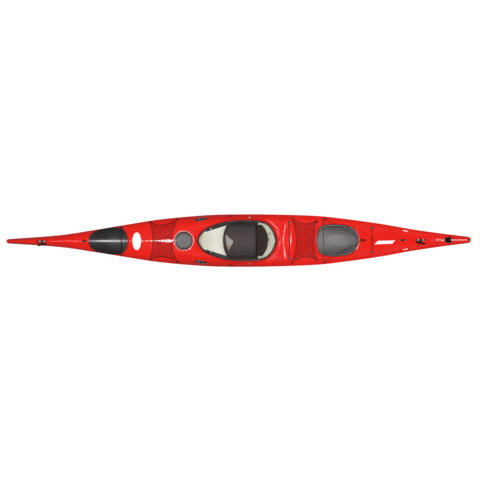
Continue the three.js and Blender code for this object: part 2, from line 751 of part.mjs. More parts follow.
function dayHatch() {
  const floor = dayWellFloor + fitGap;
  const rimTop = dayHatchLid / 3;
  const under = dayWellFloor - skinWall - fitGap;
  const sleeve = dayHatchMouth + dayPodWall;
  const rimEdge = dayHatchRadius - hatchSkirt - fitGap;
  const rimProfile = [[dayHatchMouth, rimTop], [rimEdge, rimTop], [rimEdge, 0], [sleeve, 0],
    [sleeve, -skinWall], [dayHatchMouth, -skinWall], [dayHatchMouth, rimTop]].reverse();
  const lidFloor = rimTop + fitGap;
  const lidTop = dayHatchLid + dayHatchLid / 3;
  const discRadius = dayHatchRadius * discShare;
  const lidProfile = [[0, lidFloor], [dayHatchRadius - hatchSkirt, lidFloor], [dayHatchRadius - hatchSkirt, 0],
    [dayHatchRadius, 0], [dayHatchRadius, dayHatchLid], [discRadius + hatchSkirt, lidTop],
    [discRadius, dayHatchLid], [discRadius - hatchSkirt, dayHatchLid], [0, lidTop]];
  const flange = dayHatchMouth + hatchSkirt * 3;
  const podProfile = [[0, -dayPodDepth], [dayHatchMouth - hatchSkirt, -dayPodDepth],
    [dayHatchMouth + dayPodWall, -dayPodDepth + hatchSkirt], [sleeve, -dayPodWall], [flange, -dayPodWall],
    [flange, 0], [dayHatchMouth, 0], [dayHatchMouth, -dayPodDepth + hatchSkirt + dayPodWall],
    [dayHatchMouth - hatchSkirt, -dayPodDepth + dayPodWall], [0, -dayPodDepth + dayPodWall]];
  addPart("day_hatch_rim", "black", turned(rimProfile, outlineSteps.well).translate(dayHatchX, 0, floor));
  addPart("day_hatch_cover", "grey", turned(lidProfile, outlineSteps.well).translate(dayHatchX, 0, floor));
  addPart("day_hatch_pod", "black", turned(podProfile, outlineSteps.disc * 2).translate(dayHatchX, 0, under));
}

// Nets: a border and two sets of slanting cords. The starboard half is made flat, each of its corners is lifted
// to the deck, and the port half mirrors it, so that the two meet in a fold along the ridge

function netShape(corners) {
  const { foreX, aftX, foreHalf, aftHalf, foreSag, aftSag } = corners;
  const edge = (a, b, sag, count) => Array.from({ length: count }, (_, k) => {
    const t = k / count;
    const bow = 4 * t * (1 - t);
    return [THREE.MathUtils.lerp(a[0], b[0], t) + sag[0] * bow, THREE.MathUtils.lerp(a[1], b[1], t) + sag[1] * bow];
  });
  const sideSag = ((foreHalf + aftHalf) / 2) * netSideShare;
  return [
    ...edge([foreX, -foreHalf], [aftX, -aftHalf], [0, sideSag], netSideSteps),
    ...edge([aftX, -aftHalf], [aftX, aftHalf], [-aftSag, 0], netEndSteps),
    ...edge([aftX, aftHalf], [foreX, foreHalf], [0, -sideSag], netSideSteps),
    ...edge([foreX, foreHalf], [foreX, -foreHalf], [foreSag, 0], netEndSteps),
  ];
}

// Flat strips along one diagonal of the mesh, one for each cord, all joined
function netStrands(middleX, pitchX, pitchY, slant) {
  const turn = Math.atan2(slant * pitchY, pitchX);
  const reach = (netRows * (pitchX + pitchY)) / 2;
  const strands = Array.from({ length: netRows * 2 }, (_, k) => {
    const strand = new THREE.BoxGeometry(reach * 2, netStrand, netCord).translate(0, 0, netCord / 2);
    const x = middleX + (k - netRows + 0.5) * pitchX;
    return solidOf(strand.rotateZ(turn).translate(x, 0, 0));
  });
  return strands.reduce((joined, strand) => joined.add(strand));
}

function deckNet(corners, pitchX, pitchY) {
  const edge = netShape(corners);
  const middleX = (corners.foreX + corners.foreSag + corners.aftX - corners.aftSag) / 2;
  const within = prism(growOutline(edge, -netEdge / 2), 0, netCord);
  const border = prism(edge, 0, netCord).subtract(prism(growOutline(edge, -netEdge), -netCord, netCord * 2));
  const strands = netStrands(middleX, pitchX, pitchY, 1).add(netStrands(middleX, pitchX, pitchY, -1));
  const starboard = box(-farReach, farReach, 0, farReach, -netCord, netCord * 2);
  const flat = geometryOf(strands.intersect(within).add(border).intersect(starboard));
  const position = flat.attributes.position;
  for (let i = 0; i < position.count; i += 1) {
    const across = [-netEdge / 2, 0, netEdge / 2].map((step) => position.getY(i) + step);
    const deck = Math.max(...across.map((y) => deckHeight(position.getX(i), y)));
    position.setZ(i, position.getZ(i) + deck + netClearance);
  }
  const half = solidOf(flat);
  return half.add(mirrored(half));
}

function deckNets() {
  const front = {
    foreX: frontNetFore,
    aftX: frontNetAft,
    foreHalf: sheerHalf(frontNetFore) * netCornerShares.frontFore,
    aftHalf: sheerHalf(frontNetAft) * netCornerShares.frontAft,
    foreSag: frontNetForeSag,
    aftSag: frontNetSag,
  };
  const rear = {
    foreX: rearNetFore,
    aftX: rearNetAft,
    foreHalf: sheerHalf(rearNetFore) * netCornerShares.rearFore,
    aftHalf: sheerHalf(rearNetAft) * netCornerShares.rearAft,
    foreSag: rearNetForeSag,
    aftSag: rearNetSag,
  };
  addPart("front_deck_net", "black", netWithLugs(front, frontNetPitchX, frontNetPitchY));
  addPart("rear_deck_net", "black", netWithLugs(rear, rearNetPitchX, rearNetPitchY));
}

function netWithLugs(corners, pitchX, pitchY) {
  const inset = netEdge / 2;
  const places = [[corners.foreX + inset, corners.foreHalf - inset], [corners.aftX - inset, corners.aftHalf - inset]];
  return places.reduce((net, [x, y]) => {
    const lug = deckBlock(placeOutline(roundOutline(netLug, 8), x, y), fitGap, netLug);
    return net.add(lug).add(mirrored(lug));
  }, deckNet(corners, pitchX, pitchY));
}

// Paddle parks: a shock cord across the deck with a knob, its ends in a round fitting at each side

function paddlePark(name, x, halfSpan) {
  const profile = [[0, 0], [parkFitting, 0], [parkFitting, parkFittingHeight / 2],
    [parkFitting * fittingTopShare, parkFittingHeight], [0, parkFittingHeight]];
  const reach = halfSpan - parkFitting / 2;
  const route = lineOverDeck([x, -reach], [x, reach], cordGap + shockCord / 2, 12);
  const knob = new THREE.SphereGeometry(parkKnob, 8, 6).translate(x, 0, deckHeight(x, 0) + cordGap + parkKnob);
  const fitting = standOnDeck(turned(profile, outlineSteps.disc), x, halfSpan);
  const cord = cordAlong(route, shockCord, outlineSteps.cord).add(solidOf(knob));
  addPart(name, "black", cord.add(fitting).add(mirrored(fitting)));
}

// Carrying handles: a bracket on the ridge, a bar between its ends, and a grip that swings on a webbing link

function bracketAxis(x) {
  return deckHeight(x, 0, bracketBase) + cordGap * 2 + handleSleeve / 2;
}

function rodAlongX(radius, length, sides) {
  return new THREE.CylinderGeometry(radius, radius, length, sides).rotateZ(Math.PI / 2);
}

function bracketOutline(x) {
  return placeOutline(slotOutline(bracketLength, bracketWidth), x, 0);
}

function handleBracket(x) {
  const outline = bracketOutline(x);
  const slotEnds = [x - bracketSlot / 2, x + bracketSlot / 2];
  const slot = box(slotEnds[0], slotEnds[1], -farReach, farReach, 0, farReach);
  const ends = deckBlock(outline, fitGap, bracketHeight).subtract(slot);
  const bar = solidOf(rodAlongX(handleBar / 2, bracketSlot + bracketWidth / 2, 12).translate(x, 0, bracketAxis(x)));
  return ends.add(deckBlock(outline, fitGap, bracketBase)).add(bar);
}

// The link and the grip lie flat, reaching to port from the bar, before they are turned down onto the deck
function handleSwing(gripReach) {
  const bore = solidOf(rodAlongX(handleBar / 2 + fitGap, bracketSlot, 16));
  const sleeve = solidOf(rodAlongX(handleSleeve / 2, handleWeb, 16));
  const reach = gripReach + gripThickness / 4;
  const strap = box(-handleWeb / 2, handleWeb / 2, -reach, 0, -webThickness / 2, webThickness / 2);
  const pocketHalf = handleWeb / 2 + fitGap;
  const pocketDeep = webThickness / 2 + fitGap;
  const pocket = box(-pocketHalf, pocketHalf, -reach - fitGap, 0, -pocketDeep, pocketDeep);
  const half = gripThickness / 2;
  const profile = gripShares.map(([along, across]) => [half * across, gripLength * (along - 0.5)]);
  const grip = turned(profile, 14).rotate([0, 90, 0]).rotate([0, 0, gripYaw]).translate(0, -gripReach, 0);
  return { link: sleeve.add(strap).subtract(bore), grip: grip.subtract(pocket) };
}

// How far a handle turns down before its grip rests on the deck or its webbing on the bracket, in degrees
function handleRest(swing, x) {
  const base = deckBlock(growOutline(bracketOutline(x), cordGap), fitGap, bracketBase + cordGap);
  const rests = bodyAt(cordGap).add(base);
  const place = (angle) => swing.rotate([angle, 0, 0]).translate(x, 0, bracketAxis(x));
  return Array.from({ length: restSteps }).reduce(([free, met]) => {
    const middle = (free + met) / 2;
    return place(middle).intersect(rests).isEmpty() ? [middle, met] : [free, middle];
  }, [0, 90])[0];
}

function carryHandle(name, x, reach, flip) {
  const { link, grip } = handleSwing(reach);
  const faced = (solid) => (flip ? solid.mirror([1, 0, 0]) : solid);
  const angle = handleRest(faced(link.add(grip)), x);
  const place = (solid) => faced(solid).rotate([angle, 0, 0]).translate(x, 0, bracketAxis(x));
  addPart(`${name}_bracket`, "black", handleBracket(x));
  addPart(`${name}_link`, "black", place(link));
  addPart(`${name}_grip`, "black", place(grip));
}

// Fittings along the sides

function slotPlate() {
  const x = cockpitFore + slotPlateSet;
  const y = sheerHalf(x) - slotPlateInboard;
  const plate = deckBlock(
    placeOutline(slotOutline(slotPlateLength, slotPlateWidth), x, y, slotPlateYaw), fitGap, slotPlateThickness);
  const pitch = slotPlateLength / 3.4;
  const slot = (k) => placeOutline(slotOutline(pitch * 0.72, slotPlateWidth / 3, 4), k * pitch, 0);
  return [-1, 0, 1].reduce((left, k) => left.subtract(prism(placeOutline(slot(k), x, y, slotPlateYaw))), plate);
}

function sheerFitting() {
  const x = cockpitFore + sheerFittingSet;
  const y = sheerHalf(x) - seamTapeThickness * 2 - sheerFittingWidth / 2;
  const outline = placeOutline(slotOutline(sheerFittingLength, sheerFittingWidth, 4), x, y);
  return deckBlock(outline, fitGap, sheerFittingHeight);
}

const seatFore = cockpitShift + seatShift - seatLength / 2 - seatWall;
const seatAft = seatFore + seatLength;
const seatBoltX = seatAft - seatBoltSet;
const seatBoltY = (outlineHalf(cockpitOutline, seatBoltX) + sheerHalf(seatBoltX)) / 2;

function outlineHalf(points, x) {
  return points.reduce((half, [ax, ay], i) => {
    const [bx, by] = points[(i + 1) % points.length];
    const meets = ax !== bx && (ax - x) * (bx - x) <= 0;
    return meets ? Math.max(half, THREE.MathUtils.lerp(ay, by, (x - ax) / (bx - ax))) : half;
  }, 0);
}

function seatBolt() {
  const head = seatBoltRadius / 2;
  const profile = [[0, 0], [seatBoltRadius, 0], [seatBoltRadius, seatBoltHeight / 3], [head, seatBoltHeight / 3],
    [head, seatBoltHeight], [0, seatBoltHeight]];
  return standOnDeck(turned(profile, outlineSteps.disc), seatBoltX, seatBoltY);
}

function sideFittings() {
  addPair("side_slot_plate", "grey", slotPlate());
  addPair("sheer_fitting", "black", sheerFitting());
  addPair("seat_bolt", "steel", seatBolt());
}

// Stern fittings

function lineExit() {
  const x = smallFittingX + lineExitLength / 2;
  const y = sheerHalf(x) * lineExitShare;
  const blister = new THREE.SphereGeometry(lineExitWidth / 2, 12, 8);
  blister.scale(lineExitLength / lineExitWidth, 1, 1).rotateZ(THREE.MathUtils.degToRad(-lineExitYaw));
  return solidOf(blister.translate(x, y, deckHeight(x, y))).subtract(bodyAt(fitGap)).intersect(aboveSheer);
}

function parkBlock() {
  const half = parkBlockWidth / 2;
  const length = parkBlockLength;
  const points = [[-length / 2, 0], [-length * 0.3, -half * 0.7], [-length * 0.1, -half], [length / 2, -half],
    [length / 2, half], [-length * 0.1, half], [-length * 0.3, half * 0.7]];
  const block = deckBlock(placeOutline(points, parkBlockX, 0), fitGap, parkBlockHeight);
  const groove = (y) => solidOf(rodAlongX(half / 5, length * 2, 8)
    .translate(parkBlockX, y, deckHeight(parkBlockX, y, parkBlockHeight)));
  return block.subtract(groove(half * 0.38)).subtract(groove(-half * 0.38));
}

function sternCords() {
  const foreEnd = parkBlockX - parkBlockLength / 2 - cordGap;
  const aftEnd = parkBlockX + parkBlockLength / 2 + cordGap;
  const start = foreEnd - loopReach * 1.6;
  const height = cordGap + sternCord / 2;
  const over = (x, y) => [x, y, deckHeight(x, y, height)];
  const knotY = -loopWidth * 1.4;
  const knot = new THREE.SphereGeometry(sternCord, 8, 6);
  knot.translate(start, knotY, deckHeight(start, knotY, cordGap + sternCord));
  const line = [[start, knotY], [start + loopReach * 0.5, knotY * 0.4], [start + loopReach, loopWidth * 0.2],
    [foreEnd - loopReach * 0.3, loopWidth * 0.25], [foreEnd - sternCord, 0]];
  const half = loopWidth / 2;
  const loop = [[aftEnd, half * 0.8], [aftEnd + loopReach * 0.4, half], [aftEnd + loopReach * 0.8, half * 0.8],
    [aftEnd + loopReach, 0], [aftEnd + loopReach * 0.8, -half * 0.8], [aftEnd + loopReach * 0.4, -half],
    [aftEnd, -half * 0.8]];
  const lineRoute = line.map(([x, y]) => over(x, y));
  const loopRoute = loop.map(([x, y]) => over(x, y));
  addPart("rudder_park_cord", "black", cordAlong(lineRoute, sternCord, outlineSteps.cord).add(solidOf(knot)));
  addPart("rudder_park_loop", "black", cordAlong(loopRoute, sternCord, outlineSteps.loop));
}

function sternFittings() {
  const postLength = sternSlotDepth - fitGap + sternPostOut;
  const postPlace = placeOutline(slotOutline(postLength, sternPostWidth), overallLength / 2 - postLength / 2, 0);
  const post = prism(postPlace, hullHeight * keelAt(1) + sternPostRaise, deckHeight(sternX, 0) - sternPostRaise);
  const outline = placeOutline(slotOutline(smallFittingLength, smallFittingWidth), smallFittingX, 0);
  addPart("aft_deck_fitting", "black", deckBlock(outline, fitGap, smallFittingHeight));
  addPair("line_exit", "gelcoat", lineExit());
  addPart("rudder_park_block", "black", parkBlock());
  addPart("stern_post", "black", post);
  sternCords();
}

// Inside the hull

function bulkhead(x) {
  const slice = box(x, x + bulkheadThickness, -farReach, farReach, -cutOverrun, farReach);
  return bodyAt(-skinWall - fitGap).intersect(slice);
}

function thighBrace() {
  const foreX = cockpitFore + braceSet;
  const aftX = foreX + braceLength;
  const tuck = braceTuck;
  const inner = (x, reach) => [x, outlineHalf(mouthOutline, x) - reach];
  const outline = [inner(foreX, 0), inner(foreX + braceLength * 0.35, braceReach * 0.5), inner(aftX, braceReach),
    inner(aftX + tuck * 2, braceReach * 0.8), inner(aftX + tuck * 4, 0), [aftX + tuck * 4, farReach], [foreX, farReach]];
  const within = prism(growOutline(riserOutline, tuck));
  const layer = bodyAt(-skinWall - fitGap).subtract(loweredBody(-skinWall - fitGap, braceThickness));
  return prism(outline).intersect(within).intersect(layer).intersect(aboveSheer);
}

// The lowest lift of the seat at which its sides clear the inside of the hull
function liftOfSeat() {
  const clears = (lift) => seatShares.every(([across, up]) => [seatFore, seatAft].every((x) => (
    insideHalf(x, lift + seatSide * up) >= (seatWidth / 2) * across + seatClear)));
  let lift = skinWall;
  while (lift < sheerLevel(seatFore) && !clears(lift)) lift += seatLiftStep;
  return lift;
}

const seatLift = liftOfSeat();
const hingeX = seatAft - hingeRod;
const hingeZ = seatLift + seatSide - hingeRod * 1.5;

function seatSection() {
  const half = seatWidth / 2;
  const side = seatShares.map(([across, up]) => [half * across, seatLift + seatSide * up]);
  return [...side, ...side.map(([y, z]) => [-y, z]).reverse()];
}

// A solid of one cross section, drawn as [y, z], along X
function alongX(section, fore, aft) {
  return loft([fore, aft], [section, section]);
}

function seatShell() {
  const outer = seatSection();
  const topIndex = seatShares.length - 1;
  const inner = growOutline(outer, -seatWall).map(([y, z], i) => {
    const atTop = i === topIndex || i === topIndex + 1;
    return [y, atTop ? z + cutOverrun : z];
  });
  const slope = [[seatFore - seatWall, seatLift + seatSide * seatFrontShare],
    [seatAft - seatLength / 3, seatLift + seatSide], [seatAft + seatWall, seatLift + seatSide]];
  const under = loft(slope.map(([x]) => x), slope.map(([, z]) => [[-farReach, 0], [farReach, 0], [farReach, z], [-farReach, z]]));
  return alongX(outer, seatFore, seatAft).subtract(alongX(inner, seatFore - seatWall, seatAft + seatWall)).intersect(under);
}

// Height of the seat pan's inside at a distance from the middle
function seatFloor(y) {
  const inner = growOutline(seatSection(), -seatWall).slice(0, seatShares.length);
  const floor = seatLift + seatWall;
  const i = inner.findIndex((point) => point[0] >= Math.abs(y));
  if (i <= 0) return floor;
  const share = (Math.abs(y) - inner[i - 1][0]) / (inner[i][0] - inner[i - 1][0]);
  return THREE.MathUtils.lerp(inner[i - 1][1], inner[i][1], share);
}

// A closed cushion between an upper and a lower surface, each given as a point at shares along and across
function cushion(upper, lower, alongCount, acrossCount) {
  const wide = acrossCount + 1;
  const layer = (surface) => Array.from({ length: (alongCount + 1) * wide }, (_, k) => (
    surface(Math.floor(k / wide) / alongCount, (k % wide) / acrossCount)));
  const points = [...layer(upper), ...layer(lower)];
  const below = (alongCount + 1) * wide;
  const faces = [];
  const quad = (a, b, c, d) => faces.push(a, b, c, a, c, d);
  for (let i = 0; i < alongCount; i += 1) {
    for (let j = 0; j < acrossCount; j += 1) {
      const k = i * wide + j;
      quad(k, k + wide, k + wide + 1, k + 1);
      quad(below + k, below + k + 1, below + k + wide + 1, below + k + wide);
    }
  }
  for (let i = 0; i < alongCount; i += 1) {
    const k = i * wide;
    quad(k, below + k, below + k + wide, k + wide);
    quad(k + acrossCount + wide, below + k + acrossCount + wide, below + k + acrossCount, k + acrossCount);
  }
  for (let j = 0; j < acrossCount; j += 1) {
    const k = alongCount * wide + j;
    quad(j + 1, below + j + 1, below + j, j);
    quad(k, below + k, below + k + 1, k + 1);
  }
  const geometry = new THREE.BufferGeometry();
  geometry.setAttribute("position", new THREE.Float32BufferAttribute(points.flat(), 3));
  geometry.setIndex(faces);
  return solidOf(geometry);
}

function seatPad() {
  const half = (seatWidth / 2) * padWidthShare;
  const aft = hingeX - hingeRod - cordGap;
  const place = (along, across) => {
    const y = half * (across * 2 - 1);
    const fore = seatFore + padForeCurve * (y / half) ** 2;
    return [THREE.MathUtils.lerp(fore, aft, along), y];
  };
  const full = (share) => 1 - (share * 2 - 1) ** 4;
  const lower = (along, across) => {
    const [x, y] = place(along, across);
    return [x, y, seatFloor(y) + cordGap];
  };
  const upper = (along, across) => {
    const [x, y, z] = lower(along, across);
    const crown = padEdgeShare + (1 - padEdgeShare) * Math.min(full(along), full(across));
    return [x, y, z + seatPadThickness * crown];
  };
  return cushion(upper, lower, 8, 12);
}

function seatHanger() {
  const side = seatWidth / 2 + fitGap;
  const out = side + hangerThickness;
  const low = seatLift + seatSide * hangerLowShare;
  const bend = seatLift + seatSide;
  const top = hullHeight;
  const reach = seatBoltY + (seatBoltY - side) * (top - sheerLevel(seatBoltX)) / (sheerLevel(seatBoltX) - bend) / 2;
  const section = [[side, low], [out, low], [out, bend], [reach + hangerThickness, top], [reach, top], [side, bend]];
  const slab = alongX(section, seatBoltX - hangerWidth / 2, seatBoltX + hangerWidth / 2);
  return slab.intersect(bodyAt(-skinWall - fitGap));
}

// The backrest stands on its hinge rod: places on it are given as forward, across and up along its lean
function backrestPoint(forward, y, up) {
  const lean = THREE.MathUtils.degToRad(backrestLean);
  const curved = forward + backrestCurve * (y / (backrestWidth / 2)) ** 2;
  return [
    hingeX - curved * Math.cos(lean) + up * Math.sin(lean),
    y,
    hingeZ + curved * Math.sin(lean) + up * Math.cos(lean),
  ];
}

function backrestSpan(across) {
  const side = Math.abs(across * 2 - 1) ** 3;
  const low = hingeRod * 2 + backrestHeight * backrestEndShare * side;
  const high = backrestHeight * (1 - (backrestEndShare / 2) * side);
  return [low, high];
}

function backrestLayer(back, front, edge) {
  const surface = (depthAt) => (along, across) => {
    const [low, high] = backrestSpan(across);
    const full = 1 - (1 - edge) * Math.max((along * 2 - 1) ** 6, (across * 2 - 1) ** 6);
    return backrestPoint(depthAt(full), backrestWidth * (across - 0.5), THREE.MathUtils.lerp(low, high, along));
  };
  const fore = surface((full) => back + (front - back) * full);
  return cushion(fore, surface(() => back), backrestSteps.along, backrestSteps.across);
}

function backrest() {
  const rodLength = seatWidth - (seatWall + cordGap) * 2;
  const rod = new THREE.CylinderGeometry(hingeRod / 2, hingeRod / 2, rodLength, 12).translate(hingeX, 0, hingeZ);
  const sleeveLength = backrestWidth * sleeveShare;
  const sleeve = new THREE.CylinderGeometry(hingeRod, hingeRod, sleeveLength, 12);
  const bore = new THREE.CylinderGeometry(hingeRod / 2 + fitGap, hingeRod / 2 + fitGap, sleeveLength * 2, 12);
  const stem = new THREE.BoxGeometry(backrestShell, sleeveLength, hingeRod * 2.6).translate(0, 0, hingeRod * 1.3);
  stem.rotateY(THREE.MathUtils.degToRad(backrestLean));
  const lug = solidOf(sleeve).add(solidOf(stem)).subtract(solidOf(bore)).translate(hingeX, 0, hingeZ);
  addPart("backrest_hinge_rod", "steel", solidOf(rod));
  addPart("backrest_shell", "black", backrestLayer(-backrestShell / 2, backrestShell / 2, 1).add(lug));
  addPart("backrest_pad", "fabric", backrestLayer(backrestShell / 2 + cordGap, backrestThickness, padEdgeShare));
}

// Footrests: a rail against each side of the hull and a pedal that slides on it

const railAft = cockpitFore - railGap;
const railFore = railAft - railLength;

function railEnd(x) {
  return insideHalf(x, railZ - railHeight / 2) - fitGap - railThickness / 2;
}

const railTurn = Math.atan2(railEnd(railAft) - railEnd(railFore), railLength);

function ontoRail(geometry) {
  return solidOf(geometry.rotateZ(railTurn).translate(
    (railFore + railAft) / 2, (railEnd(railFore) + railEnd(railAft)) / 2, railZ));
}

function footrests() {
  const clear = cordGap;
  const wallIn = railThickness / 2 + clear;
  const grip = pedalThickness;
  const rail = ontoRail(new THREE.BoxGeometry(railLength, railThickness, railHeight));
  const carriage = new THREE.BoxGeometry(grip * 4, railThickness + grip, railHeight + grip * 2);
  const channel = new THREE.BoxGeometry(grip * 5, wallIn * 2, railHeight + clear * 2);
  const plateLength = pedalWidth;
  const plate = new THREE.BoxGeometry(pedalThickness, plateLength, pedalHeight);
  plate.translate(0, -wallIn - plateLength / 2, pedalHeight * pedalRiseShare);
  carriage.translate(0, -grip / 2 - clear, 0);
  const block = ontoRail(carriage).subtract(ontoRail(channel)).add(ontoRail(plate));
  const room = bodyAt(-skinWall - fitGap);
  const reach = (railLength - pedalTravelEnd * 2) / 2;
  const shifts = [-reach, 0, reach].map((along) => [Math.cos(railTurn) * along, Math.sin(railTurn) * along, 0]);
  const fitted = shifts.reduce((left, shift) => left.intersect(room.translate(shift)), block);
  addPair("footrest_rail", "black", rail);
  addPair("footrest_pedal", "black", fitted);
}

function inside() {
  addPart("front_bulkhead", "laminate", bulkhead(railFore - frontBulkheadGap));
  addPart("rear_bulkhead", "laminate", bulkhead(cockpitAft + rearBulkheadGap));
  addPair("thigh_brace", "black", thighBrace());
  addPart("seat_shell", "black", seatShell());
  addPart("seat_pad", "fabric", seatPad());
  addPair("seat_hanger", "black", seatHanger());
  backrest();
  footrests();
}

mouldings();
seamTape();
cockpitCoaming();
frontHatch();
rearHatch();
dayHatch();
deckNets();
paddlePark("fore_paddle_park", foreParkX, sheerHalf(foreParkX) * parkShares.fore);
paddlePark("aft_paddle_park", aftParkX, sheerHalf(aftParkX) * parkShares.aft);
carryHandle("bow_handle", bowHandleX, bowGripReach, false);
carryHandle("stern_handle", sternHandleX, sternGripReach, true);
sideFittings();
sternFittings();
inside();

export default kayak;
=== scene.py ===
"""A red touring sea kayak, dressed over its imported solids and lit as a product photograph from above."""
from __future__ import annotations

import json
import logging
from dataclasses import dataclass
from enum import Enum
from math import cos, pi, radians, sin
from typing import Callable, Sequence

import bmesh
import bpy
import numpy as np
from bpy.types import Material, Node, NodeSocket, NodeTree, Object
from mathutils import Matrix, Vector

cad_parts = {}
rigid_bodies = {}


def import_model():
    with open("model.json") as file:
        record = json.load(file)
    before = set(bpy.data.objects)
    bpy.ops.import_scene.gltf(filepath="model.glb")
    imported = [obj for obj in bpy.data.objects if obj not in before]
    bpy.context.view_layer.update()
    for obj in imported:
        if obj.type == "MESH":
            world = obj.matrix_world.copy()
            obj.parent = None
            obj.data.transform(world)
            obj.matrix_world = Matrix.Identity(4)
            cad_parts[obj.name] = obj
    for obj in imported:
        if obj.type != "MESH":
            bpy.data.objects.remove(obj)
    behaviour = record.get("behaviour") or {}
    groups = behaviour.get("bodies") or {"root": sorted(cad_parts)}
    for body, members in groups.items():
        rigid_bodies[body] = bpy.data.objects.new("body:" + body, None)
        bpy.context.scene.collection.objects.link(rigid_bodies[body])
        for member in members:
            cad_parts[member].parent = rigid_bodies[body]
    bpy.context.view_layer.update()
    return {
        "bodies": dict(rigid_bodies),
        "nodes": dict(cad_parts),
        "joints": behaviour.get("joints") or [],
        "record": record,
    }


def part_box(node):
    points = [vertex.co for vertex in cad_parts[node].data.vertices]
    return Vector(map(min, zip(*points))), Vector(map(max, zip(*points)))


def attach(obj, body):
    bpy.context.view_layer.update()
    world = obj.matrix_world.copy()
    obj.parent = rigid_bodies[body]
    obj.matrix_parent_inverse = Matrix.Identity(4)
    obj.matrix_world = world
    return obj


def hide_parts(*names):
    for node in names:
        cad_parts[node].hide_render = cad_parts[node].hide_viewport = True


log = logging.getLogger("kayak")

Point2 = tuple[float, float]
Point3 = tuple[float, float, float]
Heights = Callable[[np.ndarray, np.ndarray], np.ndarray]

MM = 0.001
BOW_X = -2.585
STERN_X = 2.574
HULL_LENGTH = STERN_X - BOW_X
SIDES = ((1, "starboard"), (-1, "port"))


# ---------------------------------------------------------------- plain geometry helpers


def curve_values(table: Sequence[Point2], at: np.ndarray) -> np.ndarray:
    """Read a smooth curve through a table that never overshoots its values.

    Args:
        table: Pairs of place and value, rising in place.
        at: Places to read.

    Returns:
        The curve's value at each place.
    """
    places, values = np.array(table, dtype=float).T
    rises = np.diff(values) / np.diff(places)
    slopes = np.empty_like(values)
    slopes[0], slopes[-1] = rises[0], rises[-1]
    before, after = rises[:-1], rises[1:]
    same = before * after > 0
    total = np.where(same, before + after, 1.0)
    slopes[1:-1] = np.where(same, 2 * before * after / total, 0.0)
    i = np.clip(np.searchsorted(places, at, side="left") - 1, 0, len(places) - 2)
    width = places[i + 1] - places[i]
    t = np.clip((at - places[i]) / width, 0, 1)
    start = values[i] * (1 + 2 * t) * (1 - t) ** 2 + slopes[i] * width * t * (1 - t) ** 2
    end = values[i + 1] * t**2 * (3 - 2 * t) - slopes[i + 1] * width * t**2 * (1 - t)
    return start + end


def smooth_step(value: np.ndarray | float) -> np.ndarray:
    """Ease from 0 to 1 as a value goes from 0 to 1."""
    t = np.clip(value, 0, 1)
    return t * t * (3 - 2 * t)


def spaced(points: np.ndarray, count: int, closed: bool) -> np.ndarray:
    """Resample a polyline evenly along its length.

    Args:
        points: The line's points, in 2-D or 3-D.
        count: How many points to return.
        closed: Whether the last point joins the first.

    Returns:
        The evenly spaced points.
    """
    line = np.vstack([points, points[:1]]) if closed else points
    steps = np.linalg.norm(np.diff(line, axis=0), axis=1)
    along = np.concatenate([[0], np.cumsum(steps)])
    wanted = np.linspace(0, along[-1], count + 1 if closed else count)
    wanted = wanted[:-1] if closed else wanted
    return np.stack([np.interp(wanted, along, line[:, k]) for k in range(line.shape[1])], axis=1)


def smooth_line(points: Sequence[Sequence[float]], count: int, closed: bool = False) -> np.ndarray:
    """Pass a centripetal curve through points and resample it evenly.

    Args:
        points: Points of the line.
        count: How many points to return.
        closed: Whether the line is a loop.

    Returns:
        Evenly spaced points on the curve.
    """
    knots = np.array(points, dtype=float)
    if closed:
        padded = np.vstack([knots[-1:], knots, knots[:2]])
    else:
        padded = np.vstack([2 * knots[0] - knots[1], knots, 2 * knots[-1] - knots[-2]])
    fine = []
    share = np.linspace(0, 1, 16, endpoint=False)[:, None]
    for p0, p1, p2, p3 in zip(padded, padded[1:], padded[2:], padded[3:]):
        gaps = [max(np.linalg.norm(b - a) ** 0.5, 1e-6) for a, b in ((p0, p1), (p1, p2), (p2, p3))]
        m1 = (p1 - p0) / gaps[0] - (p2 - p0) / (gaps[0] + gaps[1]) + (p2 - p1) / gaps[1]
        m2 = (p2 - p1) / gaps[1] - (p3 - p1) / (gaps[1] + gaps[2]) + (p3 - p2) / gaps[2]
        m1, m2 = m1 * gaps[1], m2 * gaps[1]
        a, b = 2 * p1 - 2 * p2 + m1 + m2, -3 * p1 + 3 * p2 - 2 * m1 - m2
        fine.append(((a * share + b) * share + m1) * share + p1)
    if not closed:
        fine.append(knots[-1:])
    return spaced(np.vstack(fine), count, closed)


def grown(outline: np.ndarray, distance: float) -> np.ndarray:
    """Move each point of an anticlockwise outline out along its corner, or in for a negative distance."""
    before = outline - np.roll(outline, 1, axis=0)
    after = np.roll(outline, -1, axis=0) - outline
    normals = []
    for edge in (before, after):
        normal = np.stack([edge[:, 1], -edge[:, 0]], axis=1)
        normals.append(normal / np.linalg.norm(normal, axis=1, keepdims=True))
    corner = normals[0] + normals[1]
    corner /= np.linalg.norm(corner, axis=1, keepdims=True)
    stretch = distance / np.maximum((corner * normals[1]).sum(axis=1), 0.5)
    return outline + corner * stretch[:, None]


def rounded_bar(length: float, width: float, count: int = 40) -> np.ndarray:
    """Draw a bar with round ends, anticlockwise about the origin."""
    straight, radius = length / 2 - width / 2, width / 2
    turns = np.linspace(-pi / 2, pi / 2, count // 2)
    aft = np.stack([straight + np.cos(turns) * radius, np.sin(turns) * radius], axis=1)
    return np.vstack([aft, -aft])


def rounded_box(length: float, width: float, corner: float, steps: int = 5) -> np.ndarray:
    """Draw a rectangle with rounded corners, anticlockwise about the origin."""
    points = []
    for k, (sx, sy) in enumerate(((1, -1), (1, 1), (-1, 1), (-1, -1))):
        for turn in np.linspace(0, pi / 2, steps + 1):
            angle = -pi / 2 + k * pi / 2 + turn
            points.append((sx * (length / 2 - corner) + cos(angle) * corner,
                           sy * (width / 2 - corner) + sin(angle) * corner))
    return np.array(points)


